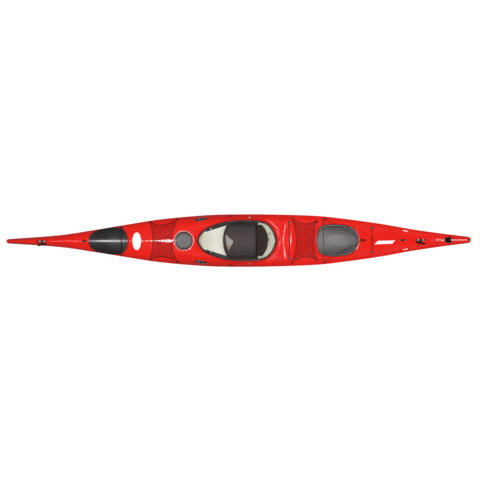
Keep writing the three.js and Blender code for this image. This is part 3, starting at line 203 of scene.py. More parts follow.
def circle(radius: float, count: int = 64) -> np.ndarray:
    """Draw a circle, anticlockwise about the origin."""
    turns = np.arange(count) * 2 * pi / count
    return np.stack([np.cos(turns), np.sin(turns)], axis=1) * radius


def placed(outline: np.ndarray, x: float, y: float, yaw: float = 0.0) -> np.ndarray:
    """Turn an outline by a yaw in degrees and move it to a place."""
    turn = radians(yaw)
    spin = np.array([[cos(turn), sin(turn)], [-sin(turn), cos(turn)]])
    return outline @ spin + np.array([x, y])


def edge_distance(outline: np.ndarray, x: np.ndarray, y: np.ndarray) -> np.ndarray:
    """Measure how far points lie outside an outline, negative inside.

    Args:
        outline: Closed plan outline.
        x: Places of the points along X.
        y: Places of the points along Y, in the same shape.

    Returns:
        The signed distance of each point.
    """
    best = np.full(x.shape, np.inf)
    inside = np.zeros(x.shape, dtype=bool)
    for (ax, ay), (bx, by) in zip(outline, np.roll(outline, -1, axis=0)):
        dx, dy = bx - ax, by - ay
        t = np.clip(((x - ax) * dx + (y - ay) * dy) / max(dx * dx + dy * dy, 1e-18), 0, 1)
        best = np.minimum(best, np.hypot(x - ax - t * dx, y - ay - t * dy))
        crosses = (ay > y) != (by > y)
        at = ax + (y - ay) / np.where(crosses, dy, 1.0) * dx
        inside ^= crosses & (x < at)
    return np.where(inside, -best, best)


# ---------------------------------------------------------------- the hull's lines


@dataclass(frozen=True)
class PlanForm:
    """A closed plan form, the same on both sides of the middle line."""

    shares: tuple[Point2, ...]
    fore: float
    length: float
    half: float

    def outline(self, count: int) -> np.ndarray:
        """Turn the half outline's shares into a closed outline, anticlockwise from above."""
        side = [(self.fore + self.length * along, self.half * across) for along, across in self.shares]
        other = [(x, -y) for x, y in side[1:-1][::-1]]
        return smooth_line(side + other, count, closed=True)[::-1]


COCKPIT = PlanForm((
    (0, 0), (0.012, 0.17), (0.047, 0.39), (0.116, 0.6), (0.184, 0.715), (0.252, 0.822), (0.321, 0.893),
    (0.388, 0.943), (0.5, 0.985), (0.591, 1), (0.7, 0.993), (0.796, 0.955), (0.863, 0.872), (0.92, 0.706),
    (0.965, 0.45), (0.99, 0.2), (1, 0)), -0.466, 0.886, 0.228)
FRONT_MOUTH = PlanForm((
    (0, 0), (0.02, 0.24), (0.06, 0.48), (0.18, 0.745), (0.375, 0.905), (0.636, 1), (0.828, 0.945), (0.934, 0.71),
    (0.982, 0.36), (1, 0)), -1.672, 0.437, 0.1515)
REAR_MOUTH = PlanForm((
    (0, 0), (0.012, 0.36), (0.06, 0.74), (0.168, 0.933), (0.3, 0.985), (0.433, 1), (0.6, 0.97), (0.722, 0.922),
    (0.83, 0.81), (0.915, 0.62), (0.975, 0.32), (1, 0)), 0.862, 0.471, 0.179)


@dataclass(frozen=True)
class HullLines:
    """The hull's form: breadth, keel, sheer, ridge and section shapes, with the places sunk into its deck."""

    beam: float = 0.584
    height: float = 0.4
    keel_flat: float = 0.1
    skin: float = 0.0035
    ridge_radius: float = 0.014
    well_x: float = -0.615
    well_radius: float = 0.104
    well_depth: float = 0.012
    groove_x: float = 0.561
    groove_width: float = 0.034
    groove_depth: float = 0.007
    moat_reach: float = 0.042
    moat_depth: float = 0.004
    breadth: tuple[Point2, ...] = (
        (0, 0.035), (0.0012, 0.062), (0.004, 0.085), (0.0144, 0.1), (0.049, 0.133), (0.118, 0.229),
        (0.187, 0.411), (0.256, 0.61), (0.325, 0.801), (0.393, 0.921), (0.462, 0.991), (0.525, 1), (0.6, 0.978),
        (0.669, 0.929), (0.738, 0.795), (0.807, 0.621), (0.876, 0.406), (0.945, 0.229), (0.979, 0.158), (1, 0.113))
    keel: tuple[Point2, ...] = (
        (0, 0.64), (0.01, 0.45), (0.03, 0.27), (0.06, 0.14), (0.1, 0.07), (0.18, 0.025), (0.32, 0),
        (0.66, 0), (0.78, 0.02), (0.88, 0.06), (0.95, 0.13), (1, 0.28))
    sheer: tuple[Point2, ...] = (
        (0, 0.78), (0.05, 0.76), (0.15, 0.69), (0.3, 0.6), (0.5, 0.53), (0.7, 0.52), (0.85, 0.56),
        (0.95, 0.62), (1, 0.65))
    ridge: tuple[Point2, ...] = (
        (0, 0.82), (0.006, 0.91), (0.02, 0.955), (0.05, 0.945), (0.1, 0.905), (0.2, 0.868), (0.3, 0.862),
        (0.4, 0.86), (0.5, 0.76), (0.585, 0.672), (0.64, 0.64), (0.75, 0.622), (0.85, 0.628), (0.93, 0.672),
        (1, 0.755))
    crown: tuple[Point2, ...] = (
        (0, 1.12), (0.3, 1.12), (0.38, 2.4), (0.42, 3.6), (0.5, 5), (0.585, 4.6), (0.63, 2.8), (0.72, 2.2), (1, 2))
    bilge: tuple[Point2, ...] = (
        (0, 1.5), (0.1, 1.5), (0.3, 2), (0.5, 2.4), (0.7, 2.1), (0.9, 1.5), (1, 1.4))

    def share(self, x: np.ndarray | float) -> np.ndarray:
        """Share of the hull's length at a place."""
        return (np.asarray(x, dtype=float) - BOW_X) / HULL_LENGTH

    def half_beam(self, x: np.ndarray | float) -> np.ndarray:
        """Half breadth at the sheer."""
        return self.beam / 2 * curve_values(self.breadth, self.share(x))

    def keel_z(self, x: np.ndarray | float) -> np.ndarray:
        """Height of the keel."""
        return self.height * curve_values(self.keel, self.share(x))

    def sheer_z(self, x: np.ndarray | float) -> np.ndarray:
        """Height of the seam between hull and deck."""
        return self.height * curve_values(self.sheer, self.share(x))

    def ridge_z(self, x: np.ndarray | float) -> np.ndarray:
        """Height of the deck's middle line."""
        return self.height * curve_values(self.ridge, self.share(x))

    def plain_deck(self, x: np.ndarray | float, y: np.ndarray | float) -> np.ndarray:
        """Height of the deck before anything is sunk into it.

        Args:
            x: Places along the hull.
            y: Places across it.

        Returns:
            Heights of the deck's outside.
        """
        half = self.half_beam(x)
        soft = self.ridge_radius + 0.03 * smooth_step((np.asarray(x) + 1.25) / 0.4)
        across = np.minimum(np.abs(y), half)
        width = (np.sqrt(across**2 + soft**2) - soft) / (np.sqrt(half**2 + soft**2) - soft)
        crown = curve_values(self.crown, self.share(x))
        rise = 0.7 * (1 - width**crown) + 0.3 * (1 - width**8)
        sheer = self.sheer_z(x)
        return sheer + (self.ridge_z(x) - sheer) * rise

    def relief(self, x: np.ndarray, y: np.ndarray) -> np.ndarray:
        """Depth that the deck's sunk places and low ridges take away at each point."""
        depth = np.zeros(np.broadcast(x, y).shape)
        x, y = np.broadcast_arrays(np.asarray(x, dtype=float), np.asarray(y, dtype=float))
        near = np.abs(x - self.groove_x) < 0.05
        slot = np.abs(x - self.groove_x) - self.groove_width / 2
        run = 1 - smooth_step((np.abs(y) - 0.175) / 0.016)
        depth += near * self.groove_depth * (1 - smooth_step((slot + 0.012) / 0.012)) * run
        for place, height, reach, width in ((0.5065, 0.003, 0.196, 0.007), (0.528, 0.0016, 0.19, 0.006),
                                            (0.597, 0.0014, 0.19, 0.008), (-0.497, 0.0011, 0.11, 0.005)):
            bow = place + 0.05 * (y / 0.3) ** 2 * (1 if place > 0 else -1)
            hump = np.exp(-((x - bow) / width) ** 2) * (1 - smooth_step((np.abs(y) - reach) / 0.02))
            depth -= height * hump
        for outline, fore, aft, reach, sunk in self.sunk_rings():
            zone = (x > fore) & (x < aft)
            if zone.any():
                gap = np.full(x.shape, 1.0)
                gap[zone] = edge_distance(outline, x[zone], y[zone])
                depth += sunk * (1 - smooth_step((gap - reach + 0.010) / 0.010))
        return depth

    def sunk_rings(self) -> list[tuple[np.ndarray, float, float, float, float]]:
        """The recesses that follow an outline: outline, fore and aft limits, reach beyond it and depth."""
        return [(COCKPIT.outline(60), 0.252, 0.47, self.moat_reach, self.moat_depth),
                (FRONT_MOUTH.outline(44), -1.75, -1.19, 0.016, 0.0045),
                (REAR_MOUTH.outline(44), 0.82, 1.38, 0.016, 0.0045)]

    def deck_z(self, x: np.ndarray | float, y: np.ndarray | float) -> np.ndarray:
        """Height of the finished deck, with its sunk places."""
        x, y = np.asarray(x, dtype=float), np.asarray(y, dtype=float)
        plain = self.plain_deck(x, y) - self.relief(x, y)
        radius = np.hypot(x - self.well_x, y)
        floor = float(self.ridge_z(self.well_x)) - self.well_depth
        inside = 1 - smooth_step((radius - self.well_radius + 0.004) / 0.012)
        return plain + (np.minimum(floor, plain) - plain) * inside

    def side_point(self, x: float, turn: np.ndarray) -> tuple[np.ndarray, np.ndarray]:
        """Half breadth and height down the hull's side.

        Args:
            x: Place along the hull.
            turn: Angles from the keel flat's edge, 0, up to the sheer, half pi.

        Returns:
            Half breadths and heights.
        """
        half, keel, sheer = float(self.half_beam(x)), float(self.keel_z(x)), float(self.sheer_z(x))
        flat = min(self.keel_flat / 2, half * 0.3)
        power = 2 / float(curve_values(self.bilge, self.share(x)))
        up = 1 - np.clip(np.cos(turn), 0, 1) ** power
        return flat + (half - flat) * np.sin(turn) ** power, keel + (sheer - keel) * up


LINES = HullLines()
# Height of the finished deck, and of the deck before anything is sunk into it
deck_surface, smooth_deck = LINES.deck_z, LINES.plain_deck


# ---------------------------------------------------------------- mesh makers
# Places, outlines and diameters are in metres; steps, sections and turned profiles are in millimetres.


def on_deck(x: float, y: float, lift: float = 0.0) -> Point3:
    """A place on the finished deck, or a little over it."""
    return x, y, float(LINES.deck_z(x, y)) + lift


def flat_at(height: float) -> Heights:
    """A level surface."""
    return lambda x, y: np.full(np.shape(x), height)


def over(flat: np.ndarray, level: Heights, rise: float | np.ndarray = 0.0) -> np.ndarray:
    """Lift plan points to a height over a surface."""
    return np.column_stack([flat, level(*flat.T) + rise])


def node_plan(node: str) -> tuple[float, float, float, float]:
    """Middle of a solid in plan, and its length and width."""
    low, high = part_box(node)
    return (low[0] + high[0]) / 2, (low[1] + high[1]) / 2, high[0] - low[0], high[1] - low[1]


def turns_of(count: int) -> np.ndarray:
    """Even angles round a circle."""
    return np.arange(count) * 2 * pi / count


def add_mesh(name: str, points: np.ndarray, faces: Sequence[Sequence[int]], finish: Finish,
             crease: float = 40.0) -> Object:
    """Make a smooth shaded mesh object with sharp creases.

    Args:
        name: Name of the piece.
        points: Its corners, in metres.
        faces: Its faces, as corner numbers.
        finish: Its finish.
        crease: Angle in degrees above which an edge stays sharp.

    Returns:
        The new object, linked to the scene.
    """
    mesh = bpy.data.meshes.new(name)
    mesh.from_pydata([tuple(map(float, p)) for p in points], [], [tuple(map(int, f)) for f in faces])
    mesh.materials.append(finish.material())
    tidy = bmesh.new()
    tidy.from_mesh(mesh)
    bmesh.ops.remove_doubles(tidy, verts=tidy.verts, dist=1e-6)
    bmesh.ops.dissolve_degenerate(tidy, edges=tidy.edges, dist=1e-7)
    bmesh.ops.recalc_face_normals(tidy, faces=tidy.faces)
    tidy.to_mesh(mesh)
    tidy.free()
    smooth_shaded(mesh, crease)
    obj = bpy.data.objects.new(name, mesh)
    bpy.context.scene.collection.objects.link(obj)
    return obj


def smooth_shaded(mesh: bpy.types.Mesh, crease: float) -> None:
    """Shade a mesh smooth, but for edges above an angle in degrees."""
    mesh.polygons.foreach_set("use_smooth", [True] * len(mesh.polygons))
    mesh.set_sharp_from_angle(angle=radians(crease))


def settle(obj: Object, *nodes: str, body: str = "kayak") -> Object:
    """Ride a piece on a body and let it stand for solids.

    Args:
        obj: The piece.
        nodes: Solids that it replaces.
        body: Name of the body that it rides on.

    Returns:
        The same piece.
    """
    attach(obj, body)
    if nodes:
        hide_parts(*nodes)
    log.info("%s rides on %s, %d faces", obj.name, body, len(obj.data.polygons))
    return obj


def merge(name: str, pieces: Sequence[Object]) -> Object:
    """Join several mesh objects into the first one and name it."""
    first, materials, joined = pieces[0], [], bmesh.new()
    for piece in pieces:
        for material in piece.data.materials:
            if material not in materials:
                materials.append(material)
        offset = [materials.index(material) for material in piece.data.materials]
        before = len(joined.faces)
        joined.from_mesh(piece.data)
        joined.faces.ensure_lookup_table()
        for face in joined.faces[before:]:
            face.material_index = offset[face.material_index]
    mesh = bpy.data.meshes.new(name)
    joined.to_mesh(mesh)
    joined.free()
    for material in materials:
        mesh.materials.append(material)
    old, first.data, first.name = first.data, mesh, name
    bpy.data.meshes.remove(old)
    for piece in pieces[1:]:
        bpy.data.objects.remove(piece)
    return first


def ring_faces(rings: int, around: int, closed: bool = False, capped: bool = False) -> list[tuple[int, ...]]:
    """Faces between rings of corners, from ring to ring and back to the first if closed, with ends if capped."""
    last = rings if closed else rings - 1
    faces = [(i * around + j, i * around + (j + 1) % around,
              (i + 1) % rings * around + (j + 1) % around, (i + 1) % rings * around + j)
             for i in range(last) for j in range(around)]
    if capped:
        faces += [tuple(range(around))[::-1], tuple(range((rings - 1) * around, rings * around))]
    return faces


def closed_sheet(name: str, upper: np.ndarray, lower: np.ndarray, finish: Finish, crease: float = 60.0) -> Object:
    """Close an upper and a lower grid of points into one thin solid.

    Args:
        name: Name of the piece.
        upper: Upper points, rows by columns.
        lower: Lower points, in the same order.
        finish: Its finish.
        crease: Angle in degrees above which an edge stays sharp.

    Returns:
        The thin solid.
    """
    rows, wide, _ = upper.shape
    total = rows * wide
    i, j = np.meshgrid(np.arange(rows - 1), np.arange(wide - 1), indexing="ij")
    a = (i * wide + j).ravel()
    faces = [*np.stack([a, a + wide, a + wide + 1, a + 1], axis=1).tolist(),
             *(np.stack([a, a + 1, a + wide + 1, a + wide], axis=1) + total).tolist()]
    edge = ([k * wide for k in range(rows)] + [(rows - 1) * wide + k for k in range(1, wide)]
            + [k * wide + wide - 1 for k in range(rows - 2, -1, -1)] + list(range(wide - 2, 0, -1)))
    faces += [(p, q, q + total, p + total) for p, q in zip(edge, edge[1:] + edge[:1])]
    return add_mesh(name, np.vstack([upper.reshape(-1, 3), lower.reshape(-1, 3)]), faces, finish, crease)


def tube(name: str, route: np.ndarray, diameter: float, finish: Finish, sides: int = 10, closed: bool = False,
         flat: float = 1.0) -> Object:
    """Sweep a round or flattened section along a route.

    Args:
        name: Name of the piece.
        route: Points of its middle line.
        diameter: Its width.
        finish: Its finish.
        sides: Corners round it.
        closed: Whether the route is a loop.
        flat: Its thickness as a share of its width.

    Returns:
        The tube.
    """
    ahead = np.roll(route, -1, axis=0) - np.roll(route, 1, axis=0) if closed else np.gradient(route, axis=0)
    ahead /= np.linalg.norm(ahead, axis=1, keepdims=True)
    across = np.cross([0, 0, 1.0], ahead)
    across[np.linalg.norm(across, axis=1) < 1e-3] = [1.0, 0, 0]
    across /= np.linalg.norm(across, axis=1, keepdims=True)
    lift = np.cross(ahead, across) * flat
    turns = turns_of(sides)[None, :, None]
    ring = (np.cos(turns) * across[:, None, :] + np.sin(turns) * lift[:, None, :]) * diameter / 2
    points = (route[:, None, :] + ring).reshape(-1, 3)
    return add_mesh(name, points, ring_faces(len(route), sides, closed, not closed), finish, 60)


def turned(name: str, profile: Sequence[Point2], place: Sequence[float], finish: Finish, around: int = 48,
           axes: Sequence[Sequence[float]] | None = None, crease: float = 35.0, closed: bool = False,
           capped: bool = False) -> Object:
    """Turn a profile of radius and height about an axis and stand it at a place.

    Args:
        name: Name of the piece.
        profile: Pairs of radius and height, from its foot to its top, in millimetres.
        place: Where its foot's middle stands.
        finish: Its finish.
        around: Corners round it.
        axes: Its two directions across and the one along its axis, if it isn't upright.
        crease: Angle in degrees above which an edge stays sharp.
        closed: Whether the profile is a loop, as on a sleeve.
        capped: Whether flat ends close it.

    Returns:
        The turned piece.
    """
    points = np.array([(radius * cos(t), radius * sin(t), height) for radius, height in profile
                       for t in turns_of(around)]) * MM
    if axes is not None:
        points = points @ np.array(axes)
    return add_mesh(name, points + np.array(place), ring_faces(len(profile), around, closed, capped), finish, crease)


def deck_axes(x: float, y: float) -> list[Vector]:
    """The directions that stand a piece square to the deck at a place: along, across and up."""
    step = 0.006
    along = Vector((2 * step, 0, float(LINES.deck_z(x + step, y) - LINES.deck_z(x - step, y)))).normalized()
    across = Vector((0, 2 * step, float(LINES.deck_z(x, y + step) - LINES.deck_z(x, y - step)))).normalized()
    up = along.cross(across).normalized()
    return [along, up.cross(along), up]


def raised(name: str, outline: np.ndarray, steps: Sequence[Point2], finish: Finish, base: Heights,
           under: Sequence[Point2] = ((0, 0.1),), spine: Point2 | None = None, crown: Heights | None = None,
           inner: int = 4, crease: float = 40.0) -> Object:
    """Raise a closed form over a plan outline on a surface.

    Args:
        name: Name of the piece.
        outline: Its plan outline, anticlockwise.
        steps: Pairs of inset from the edge and height over the surface, from the foot up to the top's edge.
        finish: Its finish.
        base: Height of the surface that it sits on.
        under: Pairs of inset and height of its underside, from the edge inwards.
        spine: The fore and aft ends of its middle line, or none for its centre.
        crown: Height that the top adds over the last step, in metres.
        inner: Rings between the top's edge and the middle line.
        crease: Angle in degrees above which an edge stays sharp.

    Returns:
        The raised form.
    """
    middle = outline.mean(axis=0)
    ends = spine or (middle[0], middle[0])
    hub = np.stack([np.clip(outline[:, 0], *ends), np.full(len(outline), 0.0 if spine else middle[1])], axis=1)
    reach = np.linalg.norm(outline - hub, axis=1)
    rings = [over(hub, base, under[-1][1] * MM)]
    for inset, height in np.array([*list(under)[::-1], *steps]) * MM:
        share = (1 - inset / np.maximum(reach, inset * 1.05 + 1e-9))[:, None]
        flat = hub + (outline - hub) * share
        rings.append(over(flat, base, height))
    top = rings[-1][:, :2]
    for k in range(1, inner + 1):
        flat = top + (hub - top) * (k / inner)
        rings.append(over(flat, base, steps[-1][1] * MM + (crown(*flat.T) if crown else 0.0)))
    return add_mesh(name, np.vstack(rings), ring_faces(len(rings), len(outline)), finish, crease)


def bar_block(name: str, place: Point2, size: Point2, steps: Sequence[Point2], base: Heights,
              finish: Finish | None = None, count: int = 40, yaw: float = 0.0, rise: float | None = None,
              under: Sequence[Point2] = ((0, 0.1),), crease: float = 40.0) -> Object:
    """Raise a bar with round ends, as most small fittings are.

    Args:
        name: Name of the piece.
        place: Its middle in plan.
        size: Its length and width.
        steps: Pairs of inset and height, as for any raised form.
        base: Height of the surface that it sits on.
        finish: Its finish, or none for black nylon.
        count: Corners of its outline.
        yaw: Its turn in degrees.
        rise: Crown of a bar whose top runs to its centre, in metres, or none for a ridge along it.
        under: Pairs of inset and height of its underside.
        crease: Angle in degrees above which an edge stays sharp.

    Returns:
        The bar.
    """
    straight = (size[0] - size[1]) / 2
    spine = (place[0] - straight, place[0] + straight) if rise is None else None
    return raised(name, placed(rounded_bar(*size, count), *place, yaw), steps, finish or BLACK_NYLON, base, under,
                  spine, None if rise is None else flat_at(rise), crease=crease)


def collar(name: str, outline: np.ndarray, section: Sequence[tuple[Heights, Sequence[Point2]]], finish: Finish,
           crease: float = 40.0) -> Object:
    """Sweep a closed section round an outline.

    Args:
        name: Name of the piece.
        outline: Plan outline that the section is measured from.
        section: Runs of corners, each with the surface that its heights follow: distances outward and rises over it.
        finish: Its finish.
        crease: Angle in degrees above which an edge stays sharp.

    Returns:
        The collar.
    """
    rings = []
    for level, corners in section:
        for outward, rise in corners:
            rings.append(over(grown(outline, outward * MM) if outward else outline, level, rise * MM))
    return add_mesh(name, np.vstack(rings), ring_faces(len(rings), len(outline), True), finish, crease)


def screw_head(name: str, place: Point3, radius: float, axes: Sequence[Sequence[float]] | None = None,
               finish: Finish | None = None) -> Object:
    """Make a pan-head screw with a hexagon socket.

    Args:
        name: Name of the piece.
        place: Middle of its foot.
        radius: Radius of the head, in millimetres.
        axes: The directions that set it square to what it stands on.
        finish: Its finish, or none for bright steel.

    Returns:
        The screw head.
    """
    shape = [(0, 0), (1, 0), (1, 0.25), (0.9, 0.45), (0.7, 0.58), (0.42, 0.62), (0.42, 0.25), (0, 0.2)]
    return turned(name, [(radius * a, radius * b) for a, b in shape], place, finish or STEEL, 24, axes)


def bolt(name: str, washer: Sequence[Point2], place: Point3, lift: float, radius: float, around: int, *nodes: str,
         axes: Sequence[Sequence[float]] | None = None) -> None:
    """Fix a screw on a washer.

    Args:
        name: Name of the piece.
        washer: Profile of the washer.
        place: Middle of the washer's foot.
        lift: Height of the screw over that, in metres.
        radius: Radius of the screw's head, in millimetres.
        around: Corners round the washer.
        nodes: Solids that it replaces.
        axes: The directions that set it square to what it stands on.
    """
    ring = turned(name, washer, place, STEEL, around, axes)
    head = screw_head("head", (*place[:2], place[2] + lift), radius, axes)
    settle(merge(name, [ring, head]), *nodes)


def apply_modifiers(obj: Object) -> None:
    """Bake all of a piece's modifiers into its mesh."""
    graph = bpy.context.evaluated_depsgraph_get()
    mesh = bpy.data.meshes.new_from_object(obj.evaluated_get(graph), depsgraph=graph)
    obj.modifiers.clear()
    old, obj.data = obj.data, mesh
    bpy.data.meshes.remove(old)


def cut_away(obj: Object, outline: np.ndarray, low: float, high: float) -> None:
    """Cut an upright prism out of a piece.

    Args:
        obj: The piece that is cut.
        outline: Plan outline of the prism.
        low: Height of its underside.
        high: Height of its top.
    """
    count = len(outline)
    points = np.vstack([np.column_stack([outline, np.full(count, z)]) for z in (low, high)])
    cutter = add_mesh("cutter", points, ring_faces(2, count, capped=True), GELCOAT)
    modifier = obj.modifiers.new("opening", "BOOLEAN")
    modifier.operation, modifier.object, modifier.solver = "DIFFERENCE", cutter, "EXACT"
    try:
        modifier.solver = "MANIFOLD"
    except TypeError:
        log.info("the manifold solver is missing: the exact one is used")
    apply_modifiers(obj)
    bpy.data.objects.remove(cutter)


# ---------------------------------------------------------------- finishes


def linear(colour: str) -> tuple[float, float, float, float]:
    """Turn an sRGB hex colour to linear light."""
    parts = [int(colour.lstrip("#")[k:k + 2], 16) / 255 for k in (0, 2, 4)]
    return (*(c / 12.92 if c <= 0.04045 else ((c + 0.055) / 1.055) ** 2.4 for c in parts), 1.0)


def add_node(tree: NodeTree, kind: str, settings: dict[str, object] | None = None,
             **links: object) -> Node:
    """Add a shader node, set its properties and fill its sockets.

    Args:
        tree: The node tree.
        kind: Blender's name of the node, after ShaderNode.
        settings: Properties of the node.
        links: Sockets by name, with "_" for a space, each with a value or another node's output.

    Returns:
        The node.
    """
    node = tree.nodes.new(f"ShaderNode{kind}")
    for key, value in (settings or {}).items():
        setattr(node, key, value)
    for key, value in links.items():
        label = key.replace("_", " ")
        named = [s for s in node.inputs if s.name == label and s.enabled] or [node.inputs[int(key[1:])]]
        if isinstance(value, NodeSocket):
            tree.links.new(value, named[0])
        else:
            named[0].default_value = value
    return node


class Pattern(Enum):
    """How a surface was made, which decides its fine relief."""

    GELCOAT = "moulded gelcoat"
    RUBBER = "moulded rubber"
    RIBBED = "ribbed rubber"
    MOULDED = "injection moulded plastic"
    BRAIDED = "braided cord"
    WEBBING = "woven webbing"
    WOVEN = "woven fabric"
    LAMINATE = "glass cloth in resin"
    METAL = "turned metal"
    PLAIN = "plain film"


THREADED = (Pattern.BRAIDED, Pattern.WEBBING, Pattern.WOVEN, Pattern.LAMINATE)


@dataclass(frozen=True)
class Finish:
    """One material: its colours, its gloss and the relief that its making left."""

    name: str
    slot: str
    pattern: Pattern
    light: str
    dark: str
    roughness: float
    grain_mm: float
    relief_mm: float = 0.1
    metallic: float = 0.0
    coat: float = 0.0
    sheen: float = 0.0
    ior: float = 1.5
    glow: float = 0.0
    glow_colour: str = "#ffffff"

    def height(self, tree: NodeTree, place: NodeSocket) -> NodeSocket:
        """Build the relief pattern.

        Args:
            tree: The material's node tree.
            place: Object coordinates in metres.

        Returns:
            The socket that gives height from 0 to 1.
        """
        period = self.grain_mm * MM
        if self.pattern in THREADED:
            turn = pi / 4 if self.pattern in (Pattern.BRAIDED, Pattern.WEBBING) else 0.0
            spun = add_node(tree, "Mapping", Vector=place, Rotation=(0.0, 0.0, turn)).outputs[0]
            threads = [add_node(tree, "TexWave", {"wave_type": "BANDS", "bands_direction": axis, "wave_profile": "SIN"},
                                Vector=spun, Scale=0.31416 / period, Distortion=0.4, Detail=1.0,
                                Detail_Scale=2.0).outputs["Fac"] for axis in ("X", "Y")]
            return add_node(tree, "Math", {"operation": "MAXIMUM"}, _0=threads[0], _1=threads[1]).outputs[0]
        if self.pattern is Pattern.RIBBED:
            centred = add_node(tree, "VectorMath", {"operation": "SUBTRACT"}, _0=place,
                               _1=(LINES.well_x, 0.0, 0.0)).outputs[0]
            flat = add_node(tree, "VectorMath", {"operation": "MULTIPLY"}, _0=centred, _1=(1.0, 1.0, 0.0)).outputs[0]
            return add_node(tree, "TexWave", {"wave_type": "RINGS", "rings_direction": "SPHERICAL",
                                              "wave_profile": "SIN"},
                            Vector=flat, Scale=0.31416 / period, Distortion=0.0).outputs["Fac"]
        if self.pattern is Pattern.METAL:
            stretched = add_node(tree, "Mapping", Vector=place, Scale=(1.0, 12.0, 1.0)).outputs[0]
            return add_node(tree, "TexNoise", Vector=stretched, Scale=1 / period, Detail=3.0).outputs["Fac"]
        detail = {Pattern.GELCOAT: 1.0, Pattern.PLAIN: 1.0}.get(self.pattern, 4.0)
        return add_node(tree, "TexNoise", Vector=place, Scale=1 / period, Detail=detail).outputs["Fac"]

    def material(self) -> Material:
        """Build the Blender material.

        Returns:
            The material, made once and then found by its name.
        """
        found = bpy.data.materials.get(self.name)
        if found:
            return found
        material = bpy.data.materials.new(self.name)
        material.use_nodes = True
        tree = material.node_tree
        tree.nodes.clear()
        place = add_node(tree, "TexCoord").outputs["Object"]
        height = self.height(tree, place)
        patches = add_node(tree, "TexNoise", Vector=place, Scale=9.0, Detail=4.0, Roughness=0.6).outputs["Fac"]
        quarter = add_node(tree, "Math", {"operation": "MULTIPLY"}, _0=patches, _1=0.25).outputs[0]
        mixed = add_node(tree, "Math", {"operation": "MULTIPLY_ADD"},
                         _0=height if self.pattern in THREADED else patches, _1=0.75, _2=quarter).outputs[0]
        tones = add_node(tree, "ValToRGB", Fac=mixed)
        ramp = tones.color_ramp
        ramp.elements[0].position, ramp.elements[1].position = 0.25, 0.75
        ramp.elements[0].color, ramp.elements[1].color = linear(self.dark), linear(self.light)
        worn = add_node(tree, "MapRange", Value=patches, From_Min=0.3, From_Max=0.7,
                        To_Min=self.roughness * 0.88, To_Max=min(self.roughness * 1.15, 1.0)).outputs[0]
        bump = add_node(tree, "Bump", Height=height, Strength=0.6, Distance=self.relief_mm * MM).outputs[0]
        shader = add_node(tree, "BsdfPrincipled", Base_Color=tones.outputs["Color"], Roughness=worn,
                          Normal=bump, Metallic=self.metallic, Coat_Weight=self.coat, Coat_Roughness=0.04,
                          Sheen_Weight=self.sheen, Sheen_Roughness=0.5)
        if not self.metallic:
            shader.inputs["IOR"].default_value = self.ior
        if self.glow:
            shader.inputs["Emission Color"].default_value = linear(self.glow_colour)
            shader.inputs["Emission Strength"].default_value = self.glow
        add_node(tree, "OutputMaterial", Surface=shader.outputs[0])
        return material


# Polyester gelcoat sprayed in a polished mould: wet-looking, with a faint orange peel about 9 mm across
GELCOAT = Finish("polyester_gelcoat_polished", "red_gelcoat", Pattern.GELCOAT, "#df1a10", "#da170d", 0.10, 9.0, 0.007,
                 coat=0.3)
# EPDM hatch rubber, moulded: a dull dark grey with a broad soft sheen and fine stipple
EPDM = Finish("epdm_rubber_moulded", "hatch_rubber", Pattern.RUBBER, "#1f1c1c", "#171515", 0.40, 1.6, 0.04)
# The same rubber after years in the sun: browner and lighter
FADED_EPDM = Finish("epdm_rubber_faded", "hatch_rubber", Pattern.RUBBER, "#3a3133", "#31292b", 0.42, 1.6, 0.04)
# EPDM disc with ribs pressed round it, weathered to a lighter grey; the ribs are drawn 5 mm apart to show
RIBBED_EPDM = Finish("epdm_rubber_ribbed", "day_cover_grey", Pattern.RIBBED, "#5f5a5b", "#4a4647", 0.34, 5.0, 0.35)
# Glass-filled nylon, injection moulded: black, satin, with a spark-eroded grain
BLACK_NYLON = Finish("glass_nylon_moulded_black", "black_plastic", Pattern.MOULDED, "#0f0d0d", "#0a0909", 0.40, 0.9,
                     0.03)
# The same nylon in mid grey, as the fittings' inserts have it
GREY_NYLON = Finish("glass_nylon_moulded_grey", "grey_plastic", Pattern.MOULDED, "#6c6968", "#5a5857", 0.42, 0.9, 0.04)
# Pale pinkish nylon of the rudder line blisters: their own pale plastic, lightened further as painted highlight for the
# glint that the small moulded blisters catch
BLISTER_HIGHLIGHT_NYLON = Finish("nylon_tube_natural", "red_gelcoat", Pattern.PLAIN, "#f0d8d4", "#e8cbc6", 0.35, 2.0, 0.02)
# A pale bead round the day hatch's well: painted highlight, its light colour standing for the light that the well's
# edge catches
RING_HIGHLIGHT_BEAD = Finish("silicone_sealant_pale", "grey_plastic", Pattern.PLAIN, "#d8cac7", "#c8bab7", 0.3, 4.0, 0.05)
# Black-oxide stainless rod: near black with a metal's edge
BLACKED_STEEL = Finish("stainless_steel_black_oxide", "steel", Pattern.METAL, "#3a3737", "#2c2a2a", 0.35, 1.2, 0.01,
                       metallic=1.0)
# Braided polyester shock cord: matt black with a diagonal braid, drawn at 2.2 mm so that it shows
SHOCK_CORD = Finish("polyester_braid_black", "cord_fabric", Pattern.BRAIDED, "#151213", "#080707", 0.75, 2.2, 0.2)
# Polypropylene webbing: flat woven strap with a slight gloss on its ribs
WEBBING = Finish("polypropylene_webbing_black", "cord_fabric", Pattern.WEBBING, "#181617", "#0c0b0c", 0.6, 2.4, 0.2)
# Neoprene-backed polyamide cloth on the seat: soft, dull, a fine weave drawn at 3 mm
SEAT_CLOTH = Finish("polyamide_cloth_grey", "pad_fabric", Pattern.WOVEN, "#4b4142", "#3a3132", 0.85, 3.0, 0.2,
                    sheen=0.12)
# A lighter knitted inset in the seat's front
INSET_CLOTH = Finish("polyamide_mesh_light_grey", "pad_fabric", Pattern.WOVEN, "#a29d9b", "#8a8583", 0.85, 3.6, 0.25,
                     sheen=0.2)
# Dark brown-black cloth of the back band
BAND_CLOTH = Finish("polyamide_cloth_dark", "pad_fabric", Pattern.WOVEN, "#32251f", "#211612", 0.85, 3.0, 0.2,
                    sheen=0.05)
